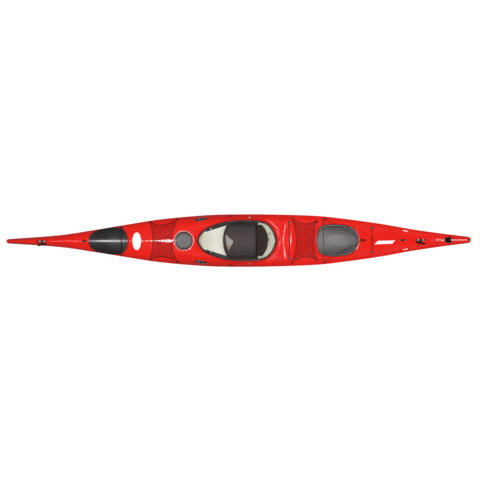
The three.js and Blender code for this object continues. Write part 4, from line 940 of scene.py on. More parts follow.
# Bonded polyester sewing thread
THREAD = Finish("polyester_thread_dark", "pad_fabric", Pattern.PLAIN, "#171414", "#100e0e", 0.6, 1.0)
# Red acrylic ribbon, a plain loop without any print
RED_TAG = Finish("acrylic_ribbon_red", "pad_fabric", Pattern.WOVEN, "#f0251c", "#d81c14", 0.7, 1.5, 0.1)
# Stainless steel, turned and polished: bright with fine lathe lines
STEEL = Finish("stainless_steel_turned", "steel", Pattern.METAL, "#d3d3d4", "#bfc0c2", 0.24, 1.2, 0.01, metallic=1.0)
# Glass cloth in clear polyester, unpainted inside the hull: cream, its 6 mm weave just visible. Its glow is painted
# light: the laminate gives off a little light of its own, standing in for daylight and lifting the shade inside
GLASS_CLOTH = Finish("glass_cloth_polyester_cream", "laminate", Pattern.LAMINATE, "#eeede2", "#dedccf", 0.5, 6.0, 0.1,
                     coat=0.1, glow=0.17, glow_colour="#f4f3e6")
# A tan copy of the same laminate, painted shade: it stands for the shade under the fore end of the cockpit rim
SHADE_TAN_CLOTH = Finish("glass_cloth_polyester_tan", "laminate", Pattern.LAMINATE, "#bdb6a0", "#a8a18b", 0.5, 6.0, 0.1)
# White vinyl film, blank
VINYL = Finish("vinyl_film_white", "red_gelcoat", Pattern.PLAIN, "#f6f3f0", "#efebe8", 0.3, 3.0, 0.01)
# Rolled white translucent backdrop, lit through from below so that it stays plain white
PAPER = Finish("paper_backdrop_white", "backdrop", Pattern.PLAIN, "#4a4a4a", "#484848", 0.9, 40.0, 0.0, ior=1.2,
               glow=1.0)


# ---------------------------------------------------------------- hull and deck


@dataclass
class Shell:
    """The two mouldings of the hull: deck and hull skins in gelcoat, bare glass cloth inside."""

    fine_step: float = 0.007
    plain_step: float = 0.028
    columns: int = 46
    turns: int = 16
    slot_depth: float = 0.04
    slot_width: float = 0.0136
    cockpit_inset: float = 0.0147
    rim_inset: float = 0.0097
    pod_radius: float = 0.0773
    crease: float = 32.0

    def stations(self) -> np.ndarray:
        """Places of the cross sections: close where the deck has openings, wide elsewhere."""
        marks = [(BOW_X, -2.53, 0.004), (-2.53, -1.76, self.plain_step), (-1.76, -1.19, self.fine_step),
                 (-1.19, -0.75, 0.018), (-0.75, 0.62, self.fine_step), (0.62, 0.83, 0.016),
                 (0.83, 1.38, self.fine_step), (1.38, 2.5, self.plain_step), (2.5, STERN_X, 0.01)]
        runs = [np.linspace(a, b, max(int(round((b - a) / step)), 2), endpoint=False) for a, b, step in marks]
        return np.concatenate([*runs, [STERN_X]])

    def end_round(self, x: np.ndarray) -> np.ndarray:
        """How much the plan narrows at the rounded nose and stern corners."""
        nose = np.clip((x - BOW_X) / 0.018, 0, 1)
        tail = np.clip((STERN_X - x) / 0.012, 0, 1)
        return (0.45 + 0.55 * np.sqrt(1 - (1 - nose) ** 2)) * (0.62 + 0.38 * np.sqrt(1 - (1 - tail) ** 2))

    def finished(self, obj: Object, faces_in: Callable[[np.ndarray, np.ndarray], np.ndarray]) -> Object:
        """Cut the stern slot and give the faces on the inside the bare glass cloth.

        Args:
            obj: The skin.
            faces_in: Tells from the middles and the normals which faces look inwards.

        Returns:
            The same skin.
        """
        half, fore, aft = self.slot_width / 2, STERN_X - self.slot_depth, STERN_X + 0.05
        cut_away(obj, np.array([(fore, -half), (aft, -half), (aft, half), (fore, half)]), -0.1, 0.6)
        polygons = obj.data.polygons
        centres, normals = np.empty(len(polygons) * 3), np.empty(len(polygons) * 3)
        polygons.foreach_get("center", centres)
        polygons.foreach_get("normal", normals)
        inner = faces_in(centres.reshape(-1, 3), normals.reshape(-1, 3))
        polygons.foreach_set("material_index", inner.astype(int))
        smooth_shaded(obj.data, self.crease)
        return obj

    def deck(self) -> Object:
        """Make the deck moulding with its hatch, cockpit and pod openings and stern slot."""
        x = self.stations()
        share = np.linspace(-1, 1, 2 * self.columns + 1)
        share = np.sign(share) * (np.abs(share) ** 0.92)
        half = LINES.half_beam(x) * self.end_round(x)
        xs = np.repeat(x[:, None], len(share), axis=1)
        ys = half[:, None] * share[None, :]
        full = LINES.half_beam(x)[:, None] * share[None, :]
        zs = LINES.plain_deck(xs, full) + LINES.deck_z(xs, ys) - LINES.plain_deck(xs, ys)
        drop = (1 - self.end_round(x)) * 0.05
        zs -= drop[:, None] * (1 - np.abs(share[None, :])) * 0.6
        outer = np.stack([xs, ys, zs], axis=2)
        shrink = np.maximum(half - LINES.skin, 0.0005) / half
        low = np.maximum(zs - LINES.skin * 1.3, LINES.sheer_z(xs) - 0.0006)
        inner = np.stack([xs, ys * shrink[:, None], low], axis=2)
        for edge in (0, -1):
            inner[:, edge] = outer[:, edge] * [1, 0.985, 1] - [0, 0, 0.0005]
        obj = closed_sheet("deck_moulding", outer, inner, GELCOAT, self.crease)
        obj.data.materials.append(GLASS_CLOTH.material())
        mouths = [grown(form.outline(56), -self.rim_inset) for form in (FRONT_MOUTH, REAR_MOUTH)]
        for outline in (grown(COCKPIT.outline(72), -self.cockpit_inset), *mouths,
                        placed(circle(self.pod_radius, 56), LINES.well_x, 0)):
            cut_away(obj, outline, 0.05, 0.6)
        return self.finished(obj, lambda middle, normal: normal[:, 2] < -0.02)

    def hull(self) -> Object:
        """Make the hull moulding below the seam, hollow between its solid ends."""
        x = self.stations()
        x = x[np.concatenate([[0], np.where(np.diff(x) > 0.0035)[0] + 1])]
        angles = np.linspace(0, pi / 2, self.turns + 1)
        flat = np.linspace(0, 1, 4)[:-1]
        outer, inner = [], []
        for place, narrow in zip(x, self.end_round(x)):
            y, z = LINES.side_point(float(place), angles)
            y, z = np.concatenate([flat * y[0], y]) * narrow, np.concatenate([np.full(3, z[0]), z])
            side = np.stack([y, z], axis=1)
            normal = np.gradient(side, axis=0)
            normal = np.stack([-normal[:, 1], normal[:, 0]], axis=1)
            normal /= np.maximum(np.linalg.norm(normal, axis=1, keepdims=True), 1e-9)
            within = side + normal * LINES.skin
            within[:, 0] = np.clip(within[:, 0], 0, None)
            within[-1] = (max(y[-1] - LINES.skin, y[-1] * 0.3), z[-1] - 0.0002)
            within[:, 1] = np.minimum(within[:, 1], z[-1] - 0.0002)
            for shape, rows in ((side, outer), (within, inner)):
                star = [(place, a, b) for a, b in shape]
                rows.append(star[::-1][:-1] + [(place, -a, b) for a, b in shape])
        obj = closed_sheet("hull_moulding", np.array(outer), np.array(inner), GELCOAT, self.crease)
        obj.data.materials.append(GLASS_CLOTH.material())
        return self.finished(obj, lambda middle, normal: (normal[:, 2] > 0.25)
                             | (normal[:, 1] * np.sign(middle[:, 1]) < -0.15))

    def seam_band(self, side: int, word: str) -> Object:
        """Make the low red band over the seam on one side.

        Args:
            side: 1 for starboard, -1 for port.
            word: The side's name.

        Returns:
            The band.
        """
        x = np.linspace(BOW_X + 0.17, STERN_X - 0.17, 130)
        section = [(-2.0, -14.5), (1.0, -13.0), (1.6, -6.0), (1.2, 1.0), (-2.2, 2.6), (-2.6, -2.0)]
        points = np.array([(place, side * (float(LINES.half_beam(place)) + a * MM),
                            float(LINES.sheer_z(place)) + b * MM) for place in x for a, b in section])
        faces = [*ring_faces(len(x), 6), tuple(range(6)), tuple(range(len(points) - 6, len(points)))]
        return add_mesh(f"seam_band_{word}", points, faces, GELCOAT, 50)

    def build(self) -> None:
        """Make and settle both mouldings and the seam bands."""
        settle(self.deck(), "deck_shell")
        settle(self.hull(), "hull_shell")
        for side, word in SIDES:
            settle(self.seam_band(side, word), f"seam_tape_{word}")


# ---------------------------------------------------------------- studio


@dataclass(frozen=True)
class AreaLight:
    """A soft box aimed at the boat, or a strip straight above it that only shows in reflections."""

    name: str
    place: Point3
    size: Point2
    power: float
    strip: bool = True
    finishes: tuple[Finish, ...] = ()

    def hang(self) -> None:
        """Hang the light, reaching only the pieces of its finishes if it names any."""
        data = bpy.data.lights.new(self.name, "AREA")
        data.shape, data.energy = "RECTANGLE", self.power
        data.size, data.size_y = self.size
        light = bpy.data.objects.new(self.name, data)
        light.location = self.place
        if not self.strip:
            aim = Vector((self.place[0] * 0.25, 0, 0.25)) - Vector(self.place)
            light.rotation_euler = aim.to_track_quat("-Z", "Y").to_euler()
        light.visible_camera = False
        light.visible_glossy, light.visible_diffuse = self.strip, not self.strip
        bpy.context.scene.collection.objects.link(light)
        if self.finishes:
            wanted = {finish.name for finish in self.finishes}
            reached = bpy.data.collections.new(f"{self.name}_reaches")
            for obj in bpy.context.scene.objects:
                if obj.type == "MESH" and any(m and m.name in wanted for m in obj.data.materials):
                    reached.objects.link(obj)
            light.light_linking.receiver_collection = reached


SOFTBOXES = (
    AreaLight("softbox_starboard", (0, 2.3, 4.9), (6.0, 2.0), 158.0, False),
    AreaLight("softbox_port", (0, -2.3, 4.9), (6.0, 2.0), 158.0, False),
    AreaLight("softbox_bow", (-5.6, 0, 4.2), (2.0, 2.4), 125.0, False),
    AreaLight("softbox_stern", (5.6, 0, 4.2), (2.0, 2.4), 90.0, False),
    AreaLight("strip_bow", (-1.82, 0, 1.9), (0.5, 0.05), 3.2),
    AreaLight("strip_foredeck", (-1.16, 0, 1.9), (0.8, 0.04), 5.0),
    AreaLight("strip_stern", (2.25, 0, 1.9), (0.3, 0.05), 0.5),
    AreaLight("strip_across", (0.30, 0, 1.9), (0.03, 1.7), 11.0))
# These bring out the rubber covers' soft ridge light and the shine of the small steel parts
ACCENTS = (
    AreaLight("cover_strip_front", (-1.45, 0, 1.9), (0.7, 0.06), 60.0, finishes=(EPDM,)),
    AreaLight("cover_strip_day", (LINES.well_x, 0, 1.9), (0.25, 0.05), 2.4, finishes=(RIBBED_EPDM,)),
    AreaLight("cover_strip_rear", (1.12, 0, 1.9), (0.45, 0.07), 15.0, finishes=(FADED_EPDM,)),
    AreaLight("steel_card", (0, 0, 3.5), (5.4, 3.0), 62.0, finishes=(STEEL,)))


@dataclass
class Studio:
    """White paper floor, a camera straight above and soft boxes on all sides."""

    lens: float = 260.0
    height: float = 38.82
    roll: float = -0.172
    centre: Point2 = (0.0111, 0.0066)
    daylight: float = 0.14
    floor_half: float = 40.0

    def camera(self) -> None:
        """Hang the camera over the middle of the boat, looking straight down."""
        data = bpy.data.cameras.new("camera")
        data.lens, data.sensor_width, data.clip_end = self.lens, 36.0, 100.0
        camera = bpy.data.objects.new("camera", data)
        camera.location = (*self.centre, self.height)
        camera.rotation_euler = (0, 0, radians(self.roll))
        bpy.context.scene.collection.objects.link(camera)
        bpy.context.scene.camera = camera

    def build(self) -> None:
        """Set up floor, world, lights and camera."""
        scene = bpy.context.scene
        scene.view_settings.view_transform = "Standard"
        scene.world = bpy.data.worlds.new("studio")
        scene.world.use_nodes = True
        background = scene.world.node_tree.nodes["Background"]
        background.inputs["Color"].default_value = linear("#ffffff")
        background.inputs["Strength"].default_value = self.daylight
        corners = np.array([(-1, -1), (1, -1), (1, 1), (-1, 1)]) * self.floor_half
        floor = add_mesh("paper_floor", np.column_stack([corners, np.full(4, -0.0005)]), [(0, 1, 2, 3)], PAPER)
        floor.visible_glossy = floor.visible_diffuse = False
        for light in SOFTBOXES:
            light.hang()
        self.camera()


# ---------------------------------------------------------------- cockpit rim and hatches


@dataclass
class Coaming:
    """The cockpit rim: a wall up from the opening with a rolled lip that a spray cover grips."""

    rise: float = 0.022
    lip_mm: float = 15.0
    wall_mm: float = 5.0
    edge_mm: float = 4.8

    def top(self, x: np.ndarray, y: np.ndarray) -> np.ndarray:
        """Height of the rim's top, straight from fore to aft."""
        fore, aft = (float(LINES.ridge_z(end)) for end in (COCKPIT.fore, COCKPIT.fore + COCKPIT.length))
        return fore + self.rise + (aft - fore) * (x - COCKPIT.fore) / COCKPIT.length

    def fore_shade_sheet(self, mouth: np.ndarray) -> None:
        """Make a tan sheet inside the fore end of the opening, painted shade for the shade under the rim."""
        half = 0.094
        fore = mouth[mouth[:, 0] < -0.30]
        fore = fore[np.argsort(fore[:, 1])]
        share, y = np.meshgrid(np.linspace(0, 1, 9), np.linspace(-half, half, 49), indexing="ij")
        x = np.interp(y, fore[:, 1], fore[:, 0]) + share * (0.003 + 0.024 * (1 - (y / half) ** 2))
        z = smooth_deck(x, y) - 0.0125 - 0.008 * share**2
        # The tan sheet is painted shade: it darkens the inside under the fore end of the rim, where the foredeck shades
        # it
        settle(closed_sheet("coaming_inner_lip", np.stack([x, y, z], axis=2), np.stack([x, y, z - 0.002], axis=2),
                            SHADE_TAN_CLOTH))

    def build(self) -> None:
        """Make the rim, the tan sheet of painted shade inside it and the red fillet at its foot."""
        wall, edge, reach = self.wall_mm, self.edge_mm, self.lip_mm + self.wall_mm
        mouth = grown(grown(COCKPIT.outline(150), -self.lip_mm * MM), -wall * MM)
        rim = collar("coaming_rim", mouth, [
            (deck_surface, [(0, -5.2)]),
            (self.top, [(0, -3), (1, -0.8), (3, 0), (reach - 3, 0), (reach - 1, -0.6), (reach, -2.2), (reach, -edge),
                        (reach - 1.5, -edge - 0.8), (reach - 4, -edge), (wall + 3, -edge), (wall, -edge - 3)]),
            (deck_surface, [(wall, 4), (wall - 0.6, 0.8), (wall - 0.6, -5.2)])], BLACK_NYLON, 50)
        settle(rim, "cockpit_coaming")
        self.fore_shade_sheet(grown(mouth, -0.0006))
        settle(collar("coaming_fillet", mouth, [(deck_surface, [(wall + 0.2, 0.2), (wall + 0.2, 5), (wall + 4, 1.6),
                                                                (wall + 9, 0.3)])], GELCOAT, 70))


class HatchName(Enum):
    """The two large deck hatches."""

    FRONT = "front"
    REAR = "rear"


@dataclass
class Hatch:
    """A large hatch: rubber cover over a bonded rim, with its tip fitting."""

    which: HatchName
    form: PlanForm
    spine: Point2
    tip_x: float
    rubber: Finish = EPDM
    dome: float = 0.005
    inset_mm: float = 10.0
    width_mm: float = 10.0
    top_mm: float = 3.0
    drop_mm: float = 14.0
    tip_height: float = 0.0078

    def domed(self, gap: np.ndarray) -> np.ndarray:
        """Rise of the cover's middle at a distance in from its edge."""
        return self.dome * smooth_step(gap / (self.form.half * 0.8))

    def cover_top(self, x: np.ndarray, y: np.ndarray) -> np.ndarray:
        """Height of the cover's top, for the straps that lie on it."""
        gap = -edge_distance(self.form.outline(60), np.asarray(x, dtype=float), np.asarray(y, dtype=float))
        edge = np.interp(gap, [-0.002, 0, 0.002, 0.014, 0.018, 0.024], [0, 0.006, 0.0092, 0.0092, 0.0082, 0.0104])
        return smooth_deck(x, y) + np.where(gap > -0.002, edge + self.domed(gap) * (gap > 0.024), 0)

    def shade_rim(self, cover: Object, outline: np.ndarray) -> None:
        """Keep the rolled edge of a faded cover in dark rubber.

        Args:
            cover: The cover.
            outline: Its plan outline.
        """
        middles = np.empty(len(cover.data.polygons) * 3)
        cover.data.polygons.foreach_get("center", middles)
        x, y, _ = middles.reshape(-1, 3).T
        cover.data.materials.append(EPDM.material())
        cover.data.polygons.foreach_set("material_index", (edge_distance(outline, x, y) > -0.0125).astype(int))

    def build(self) -> None:
        """Make the rim, the cover with its pressed channel and the tip fitting."""
        name, width, top, drop = self.which.value, self.width_mm, self.top_mm, self.drop_mm
        outline = self.form.outline(110)
        rim = collar(f"{name}_hatch_collar", grown(outline, -(self.inset_mm + width) * MM), [
            (smooth_deck, [(0, -drop), (0, top - 1), (1, top), (width - 1, top), (width, top - 1), (width, -drop)])],
            BLACK_NYLON, 50)
        settle(rim, f"{name}_hatch_rim")
        steps = [(0, 0.8), (0, 5.8), (0.8, 7.8), (2.4, 9.0), (5, 9.4), (12.5, 9.4), (14.5, 8.4), (18.5, 8.4),
                 (20.5, 9.8), (23.5, 10.6)]
        cover = raised(f"{name}_hatch_lid", outline, steps, self.rubber, smooth_deck,
                       ((0, 0.2), (5, 0.2), (5, 3.6), (20, 3.6)), self.spine,
                       lambda x, y: self.domed(-edge_distance(outline[::2], x, y)), 14, 30)
        if self.rubber is not EPDM:
            self.shade_rim(cover, outline)
        settle(cover, f"{name}_hatch_cover", body=f"{name}_hatch_lid")
        settle(bar_block(f"{name}_tip_plate", (self.tip_x, 0), (0.040, 0.022), [(0, 5.5), (1.2, 7.5), (3, 8.2)],
                         deck_surface), f"{name}_tip_fitting")
        settle(screw_head(f"{name}_tip_screw", on_deck(self.tip_x, 0, self.tip_height), 5.5, finish=BLACKED_STEEL))


FRONT_HATCH = Hatch(HatchName.FRONT, FRONT_MOUTH, (-1.56, -1.34), -1.7185)
REAR_HATCH = Hatch(HatchName.REAR, REAR_MOUTH, (0.98, 1.17), 1.384, FADED_EPDM)


@dataclass
class HatchLashings:
    """The strap over the front hatch, the cords over the rear hatch and what they hook on."""

    strap_x: float = -1.305
    strap_reach: float = 0.150
    strap_width: float = 0.013
    strap_thickness: float = 0.0024
    strap_lift: float = 0.0018
    anchor: Point2 = (0.026, 0.014)
    rear_anchor: Point2 = (0.028, 0.0225)
    anchor_mm: float = 12.0
    cord: float = 0.005
    cord_lift: float = 0.0031
    cross_x: float = 0.941
    cross_reach: float = 0.222
    leg_end: Point2 = (1.3625, 0.006)

    def laid(self, hatch: Hatch, ends: Sequence[Point2], lift: float, count: int) -> np.ndarray:
        """Lay a line over a cover and the deck between two places.

        Args:
            hatch: The hatch that it crosses.
            ends: Its two ends in plan.
            lift: Height of its middle line over what carries it.
            count: Number of its points.

        Returns:
            The line's points.
        """
        run = np.linspace(0, 1, count)
        flat = np.array(ends[0]) * (1 - run[:, None]) + np.array(ends[1]) * run[:, None]
        z = np.maximum(hatch.cover_top(*flat.T), LINES.deck_z(*flat.T)) + lift
        taut = z.copy()
        for i in range(1, count - 1):
            before, after = (z[:i] - z[i]) / (run[i] - run[:i]), (z[i + 1:] - z[i]) / (run[i + 1:] - run[i])
            if before.max() + after.max() > 0:
                a, b = int(before.argmax()), i + 1 + int(after.argmax())
                taut[i] = np.interp(run[i], [run[a], run[b]], [z[a], z[b]])
        return np.column_stack([flat, taut])

    def anchor_block(self, name: str, node: str, size: Point2, yaw: float = 0.0) -> Point2:
        """Make one deck anchor: a rounded block with a screw.

        Args:
            name: Name of the piece.
            node: The solid that it replaces.
            size: Its length and width.
            yaw: Its turn in degrees.

        Returns:
            Its place.
        """
        x, y, _, _ = node_plan(node)
        top = self.anchor_mm
        settle(bar_block(name, (x, y), size, [(0, top * 0.55), (1, top * 0.8), (3, top * 0.97)], deck_surface, count=32,
                         yaw=yaw, rise=0.0006), node)
        place = on_deck(x, y, top * 0.97 * MM - 0.0005)
        settle(screw_head(f"{name}_screw", place, 4.2, deck_axes(x, y)))
        return x, y

    def build(self) -> None:
        """Make the strap, the anchors, the three rear cords and the cord lock."""
        route = self.laid(FRONT_HATCH, [(self.strap_x, -self.strap_reach), (self.strap_x, self.strap_reach)],
                          self.strap_lift, 60)
        settle(tube("front_hatch_webbing", route, self.strap_width, WEBBING, 12,
                    flat=self.strap_thickness / self.strap_width), "front_hatch_strap", body="front_hatch_lid")
        for side, word in SIDES:
            self.anchor_block(f"front_webbing_anchor_{word}", f"front_strap_anchor_{word}", self.anchor)
            x, y = self.anchor_block(f"rear_cord_anchor_{word}", f"rear_strap_anchor_{word}", self.rear_anchor,
                                     -side * 14.0)
            leg = self.laid(REAR_HATCH, [(x + 0.013, side * (abs(y) - 0.0135)),
                                         (self.leg_end[0], side * self.leg_end[1])], self.cord_lift, 80)
            pieces = [tube(f"rear_lid_cord_{word}", leg, self.cord, SHOCK_CORD)]
            if side < 0:
                pieces.append(self.cord_lock(leg[50], leg[52]))
            settle(merge(pieces[0].name, pieces), f"rear_hatch_cord_{word}", body="rear_hatch_lid")
        cross = self.laid(REAR_HATCH, [(self.cross_x, -self.cross_reach), (self.cross_x, self.cross_reach)],
                          self.cord_lift, 90)
        settle(tube("rear_lid_cross_cord", cross, self.cord, SHOCK_CORD), "rear_hatch_cross_cord",
               body="rear_hatch_lid")

    def cord_lock(self, place: np.ndarray, ahead: np.ndarray) -> Object:
        """Make the sprung cord lock on the port cord.

        Args:
            place: Point of the cord that it sits on.
            ahead: A later point of the cord.

        Returns:
            The cord lock.
        """
        along = (ahead - place) / np.linalg.norm(ahead - place)
        barrel = [(3, -11), (6, -11), (6.8, -9), (6.8, 3), (6, 5), (5.2, 5.5), (5.2, 9), (4.4, 11), (3, 11)]
        across = np.cross([0, 0, 1.0], along)
        across /= np.linalg.norm(across)
        return turned("cord_lock", barrel, place + [0, 0, 0.003], BLACK_NYLON, 20,
                      [across, np.cross(along, across), along], 40, capped=True)


@dataclass
class DayHatch:
    """The round hatch ahead of the cockpit: ribbed rubber cover with a tether, on its rim over the pod."""

    radius_mm: float = 98.0
    disc_mm: float = 84.0
    height_mm: float = 9.0
    rim_inner: float = 0.074
    well_radius: float = 0.0985
    bead_radius: float = 0.1052
    ribs: int = 26
    catch: Point2 = (-0.517, 0.101)

    def well(self, x: float, floor: float) -> None:
        """Make the round wall of the well in the deck and the black rim on its floor.

        Args:
            x: Place of its middle.
            floor: Height of its floor.
        """
        low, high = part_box("day_hatch_rim")
        width = ((high[0] - low[0]) / 2 - self.rim_inner) / MM
        top, foot = (high[2] - floor) / MM, (low[2] - floor) / MM
        level = flat_at(floor)
        settle(collar("day_hatch_well", placed(circle(self.well_radius, 96), x, 0), [
            (level, [(0, -0.6), (0, 0.2), (1.5, 1.2), (3, 4)]),
            (smooth_deck, [(4.5, -3.5), (6.2, -0.6), (8, 0.5), (14.5, 0.5), (15.8, -1.2)])], GELCOAT, 80))
        settle(collar("day_hatch_rim_ring", placed(circle(self.rim_inner, 96), x, 0), [
            (level, [(0, foot), (0, top - 0.6), (0.6, top), (width - 1, top), (width, top - 1), (width, 0.2),
                     (2.8, 0.2), (2.8, foot)])], BLACK_NYLON, 50), "day_hatch_rim")

    def build(self) -> None:
        """Make the cover with its bowed disc, the well and rim under it, the pale bead of painted highlight and the
        tether.
        """
        x = LINES.well_x
        floor = float(LINES.ridge_z(x)) - LINES.well_depth
        r, disc, h = self.radius_mm, self.disc_mm, self.height_mm
        place = (x, 0, floor + 0.0003)
        ring = [(0, 3.5), (r - 5, 3.5), (r - 5, 0.4), (r - 0.6, 0.4), (r, 1), (r, h - 2), (r - 1, h - 0.4),
                (r - 3, h + 1.2), (disc + 4, h + 2.4), (disc + 2, h + 2), (disc + 0.8, h - 0.4), (disc - 0.4, h - 1.2),
                (disc - 0.4, 4), (0, 4)]
        settle(turned("day_hatch_ring", ring, place, EPDM, 96), "day_hatch_cover", body="day_hatch_lid")
        plate = [(0, 4.2), (disc - 0.6, 4.2), (disc - 0.6, h - 1.4)]
        for share in np.linspace(1, 0, self.ribs)[1:]:
            rib = 0.6 * cos(share * self.ribs * pi)
            plate.append((disc * share * 0.985, h + 2.2 * (1 - share**2) + rib * (0.15 < share < 0.97)))
        settle(turned("day_hatch_disc", plate, place, RIBBED_EPDM, 96), body="day_hatch_lid")
        self.well(x, floor)
        # The pale bead is painted highlight along the well's edge
        settle(collar("day_hatch_sealant", placed(circle(self.bead_radius, 96), x, 0), [
            (smooth_deck, [(0, 0), (0, 1.2), (2, 1.9), (4, 1.5), (5.5, 0.7), (5.5, 0)])], RING_HIGHLIGHT_BEAD, 80))
        settle(turned("tether_catch", [(0, 0), (8.5, 0), (8.5, 3), (6, 5), (0, 5.5)], on_deck(*self.catch), GREY_NYLON,
                      28, deck_axes(*self.catch)))
        line = np.array([(-12, -8, 10.5), (-4, 2, 12.5), (4, 6, 11.8), (8.5, 11, 10.5)]) * MM
        settle(tube("day_hatch_tether_loop", line + [x + 0.0755, 0.0755, floor], 0.003, SHOCK_CORD, 8),
               body="day_hatch_lid")


# ---------------------------------------------------------------- deck lines and handles


@dataclass
class DeckNet:
    """A diamond deck net: knotted cord inside a heavier border, hooked on four corner lugs."""

    name: str
    node: str
    fore: Point2
    aft: Point2
    sags: Point2
    pitch: Point2
    cord: float = 0.0025
    knot_mm: float = 5.6
    border: float = 0.0052
    clearance: float = 0.0008
    lug_mm: float = 10.5
    reach: int = 16

    def border_points(self, count: int = 40) -> np.ndarray:
        """Plan line of the border, anticlockwise from the fore port corner."""
        corners = [(self.fore[0], -self.fore[1]), (self.aft[0], -self.aft[1]), self.aft, self.fore]
        side = (self.fore[1] + self.aft[1]) / 2 * 0.2
        points = []
        for a, b, sag in zip(corners, corners[1:] + corners[:1],
                             [(0, side), (-self.sags[1], 0), (0, -side), (self.sags[0], 0)]):
            for t in np.linspace(0, 1, count, endpoint=False):
                bow = 4 * t * (1 - t)
                points.append((a[0] + (b[0] - a[0]) * t + sag[0] * bow, a[1] + (b[1] - a[1]) * t + sag[1] * bow))
        return np.array(points)

    def lifted(self, flat: np.ndarray, rise: float | np.ndarray = 0.0) -> np.ndarray:
        """Lift plan points to the height of the border's middle over the deck."""
        return over(flat, smooth_deck, self.clearance + self.border / 2 + rise)

    def mesh(self, outline: np.ndarray) -> list[Object]:
        """Make the cords of both diagonals and the knots where they cross.

        Args:
            outline: Plan line of the border.

        Returns:
            One tube for each cord and one knot for each crossing.
        """
        pitch_x, pitch_y = self.pitch
        middle = (self.fore[0] + self.sags[0] + self.aft[0] - self.sags[1]) / 2
        steps = range(-self.reach, self.reach + 1)
        pieces = []
        y = np.linspace(-0.27, 0.27, 200)
        for slant in (1, -1):
            for k in steps:
                x = middle + (k + 0.5) * pitch_x + slant * y * pitch_x / pitch_y
                inside = edge_distance(outline, x, y) < -0.001
                edges = np.flatnonzero(np.diff(np.concatenate([[0], inside.astype(int), [0]])))
                for start, end in zip(edges[::2], edges[1::2]):
                    if end - start > 5:
                        weave = 0.0007 * slant * np.sin(y[start:end] / pitch_y * 2 * pi)
                        route = self.lifted(np.stack([x, y], axis=1)[start:end], weave)
                        pieces.append(tube("strand", route, self.cord, SHOCK_CORD, 6))
        spots = np.array([(middle + (a + b + 1) * pitch_x / 2, (b - a) * pitch_y / 2) for a in steps for b in steps])
        spots = spots[edge_distance(outline, *spots.T) < -0.004]
        r = self.knot_mm
        profile = [(0, -r * 0.7), (r * 0.8, -r * 0.5), (r * 1.15, 0), (r * 0.8, r * 0.55), (0, r * 0.75)]
        return pieces + [turned("knot", profile, place, SHOCK_CORD, 8) for place in self.lifted(spots)]

    def build(self) -> None:
        """Make the border, strands, knots and lugs as one piece."""
        outline = self.border_points()
        pieces = [tube(self.name, self.lifted(outline), self.border, SHOCK_CORD, closed=True), *self.mesh(outline)]
        r = self.lug_mm
        profile = [(0, 0), (r, 0), (r, 4), (r * 0.86, 6.2), (r * 0.5, 6.8), (r * 0.42, 9.5), (r * 0.62, 11.5),
                   (r * 0.45, 12.5), (0, 12.8)]
        for x, half in (self.fore, self.aft):
            for y in (half - 0.002, 0.002 - half):
                pieces.append(turned("lug", profile, on_deck(x, y), BLACK_NYLON, 24, deck_axes(x, y)))
        settle(merge(self.name, pieces), self.node)


@dataclass
class PaddlePark:
    """A shock cord across the deck with a knob to hook a paddle under, its ends in round fittings."""

    name: str
    node: str
    x: float
    half_span: float
    fitting_mm: float = 14.0
    height_mm: float = 9.0
    cord: float = 0.005
    knob_mm: float = 8.0

    def build(self) -> None:
        """Make the cord, its knob and tail, and the two fittings with their grey centres."""
        y = np.linspace(-self.half_span + 0.006, self.half_span - 0.006, 70)
        x = np.full_like(y, self.x)
        lift = smooth_step((np.abs(y) - self.half_span + 0.03) / 0.024) * self.height_mm * MM * 0.62
        route = np.column_stack([x, y, LINES.deck_z(x, y) + self.cord / 2 + 0.0006 + lift])
        z, r = on_deck(self.x, 0)[2], self.knob_mm
        ball = [(0, 0.6)] + [(r * sin(a), r * (1 - cos(a)) + 0.6) for a in np.linspace(0.15, pi - 0.15, 14)]
        tail = np.array([(6, 3, r), (14, 6, r * 0.7), (21, 11, 3.4), (28, 12.5, 3.2)]) * MM + [self.x, 0, z]
        pieces = [tube(self.name, route, self.cord, SHOCK_CORD),
                  turned("knob", ball + [(0, 2 * r + 0.6)], (self.x, 0.003, z), BLACK_NYLON, 24),
                  tube("tail", smooth_line(tail, 14), 0.0032, SHOCK_CORD, 8)]
        settle(merge(self.name, pieces), self.node)
        r, h = self.fitting_mm, self.height_mm
        cup = [(0, 0), (1, 0), (1, 0.35), (0.94, 0.55), (0.74, 0.86), (0.62, 0.9), (0.58, 0.62), (0, 0.6)]
        cap = [(0, 0.55), (0.54, 0.55), (0.54, 0.78), (0.46, 0.88), (0.2, 0.92), (0.17, 0.7), (0, 0.68)]
        for side, word in SIDES:
            place = (self.x, side * self.half_span)
            for form, shape, finish, around in (("cup", cup, BLACK_NYLON, 40), ("cap", cap, GREY_NYLON, 32)):
                settle(turned(f"{self.name}_{form}_{word}", [(r * a, h * b) for a, b in shape], on_deck(*place), finish,
                              around, deck_axes(*place)))


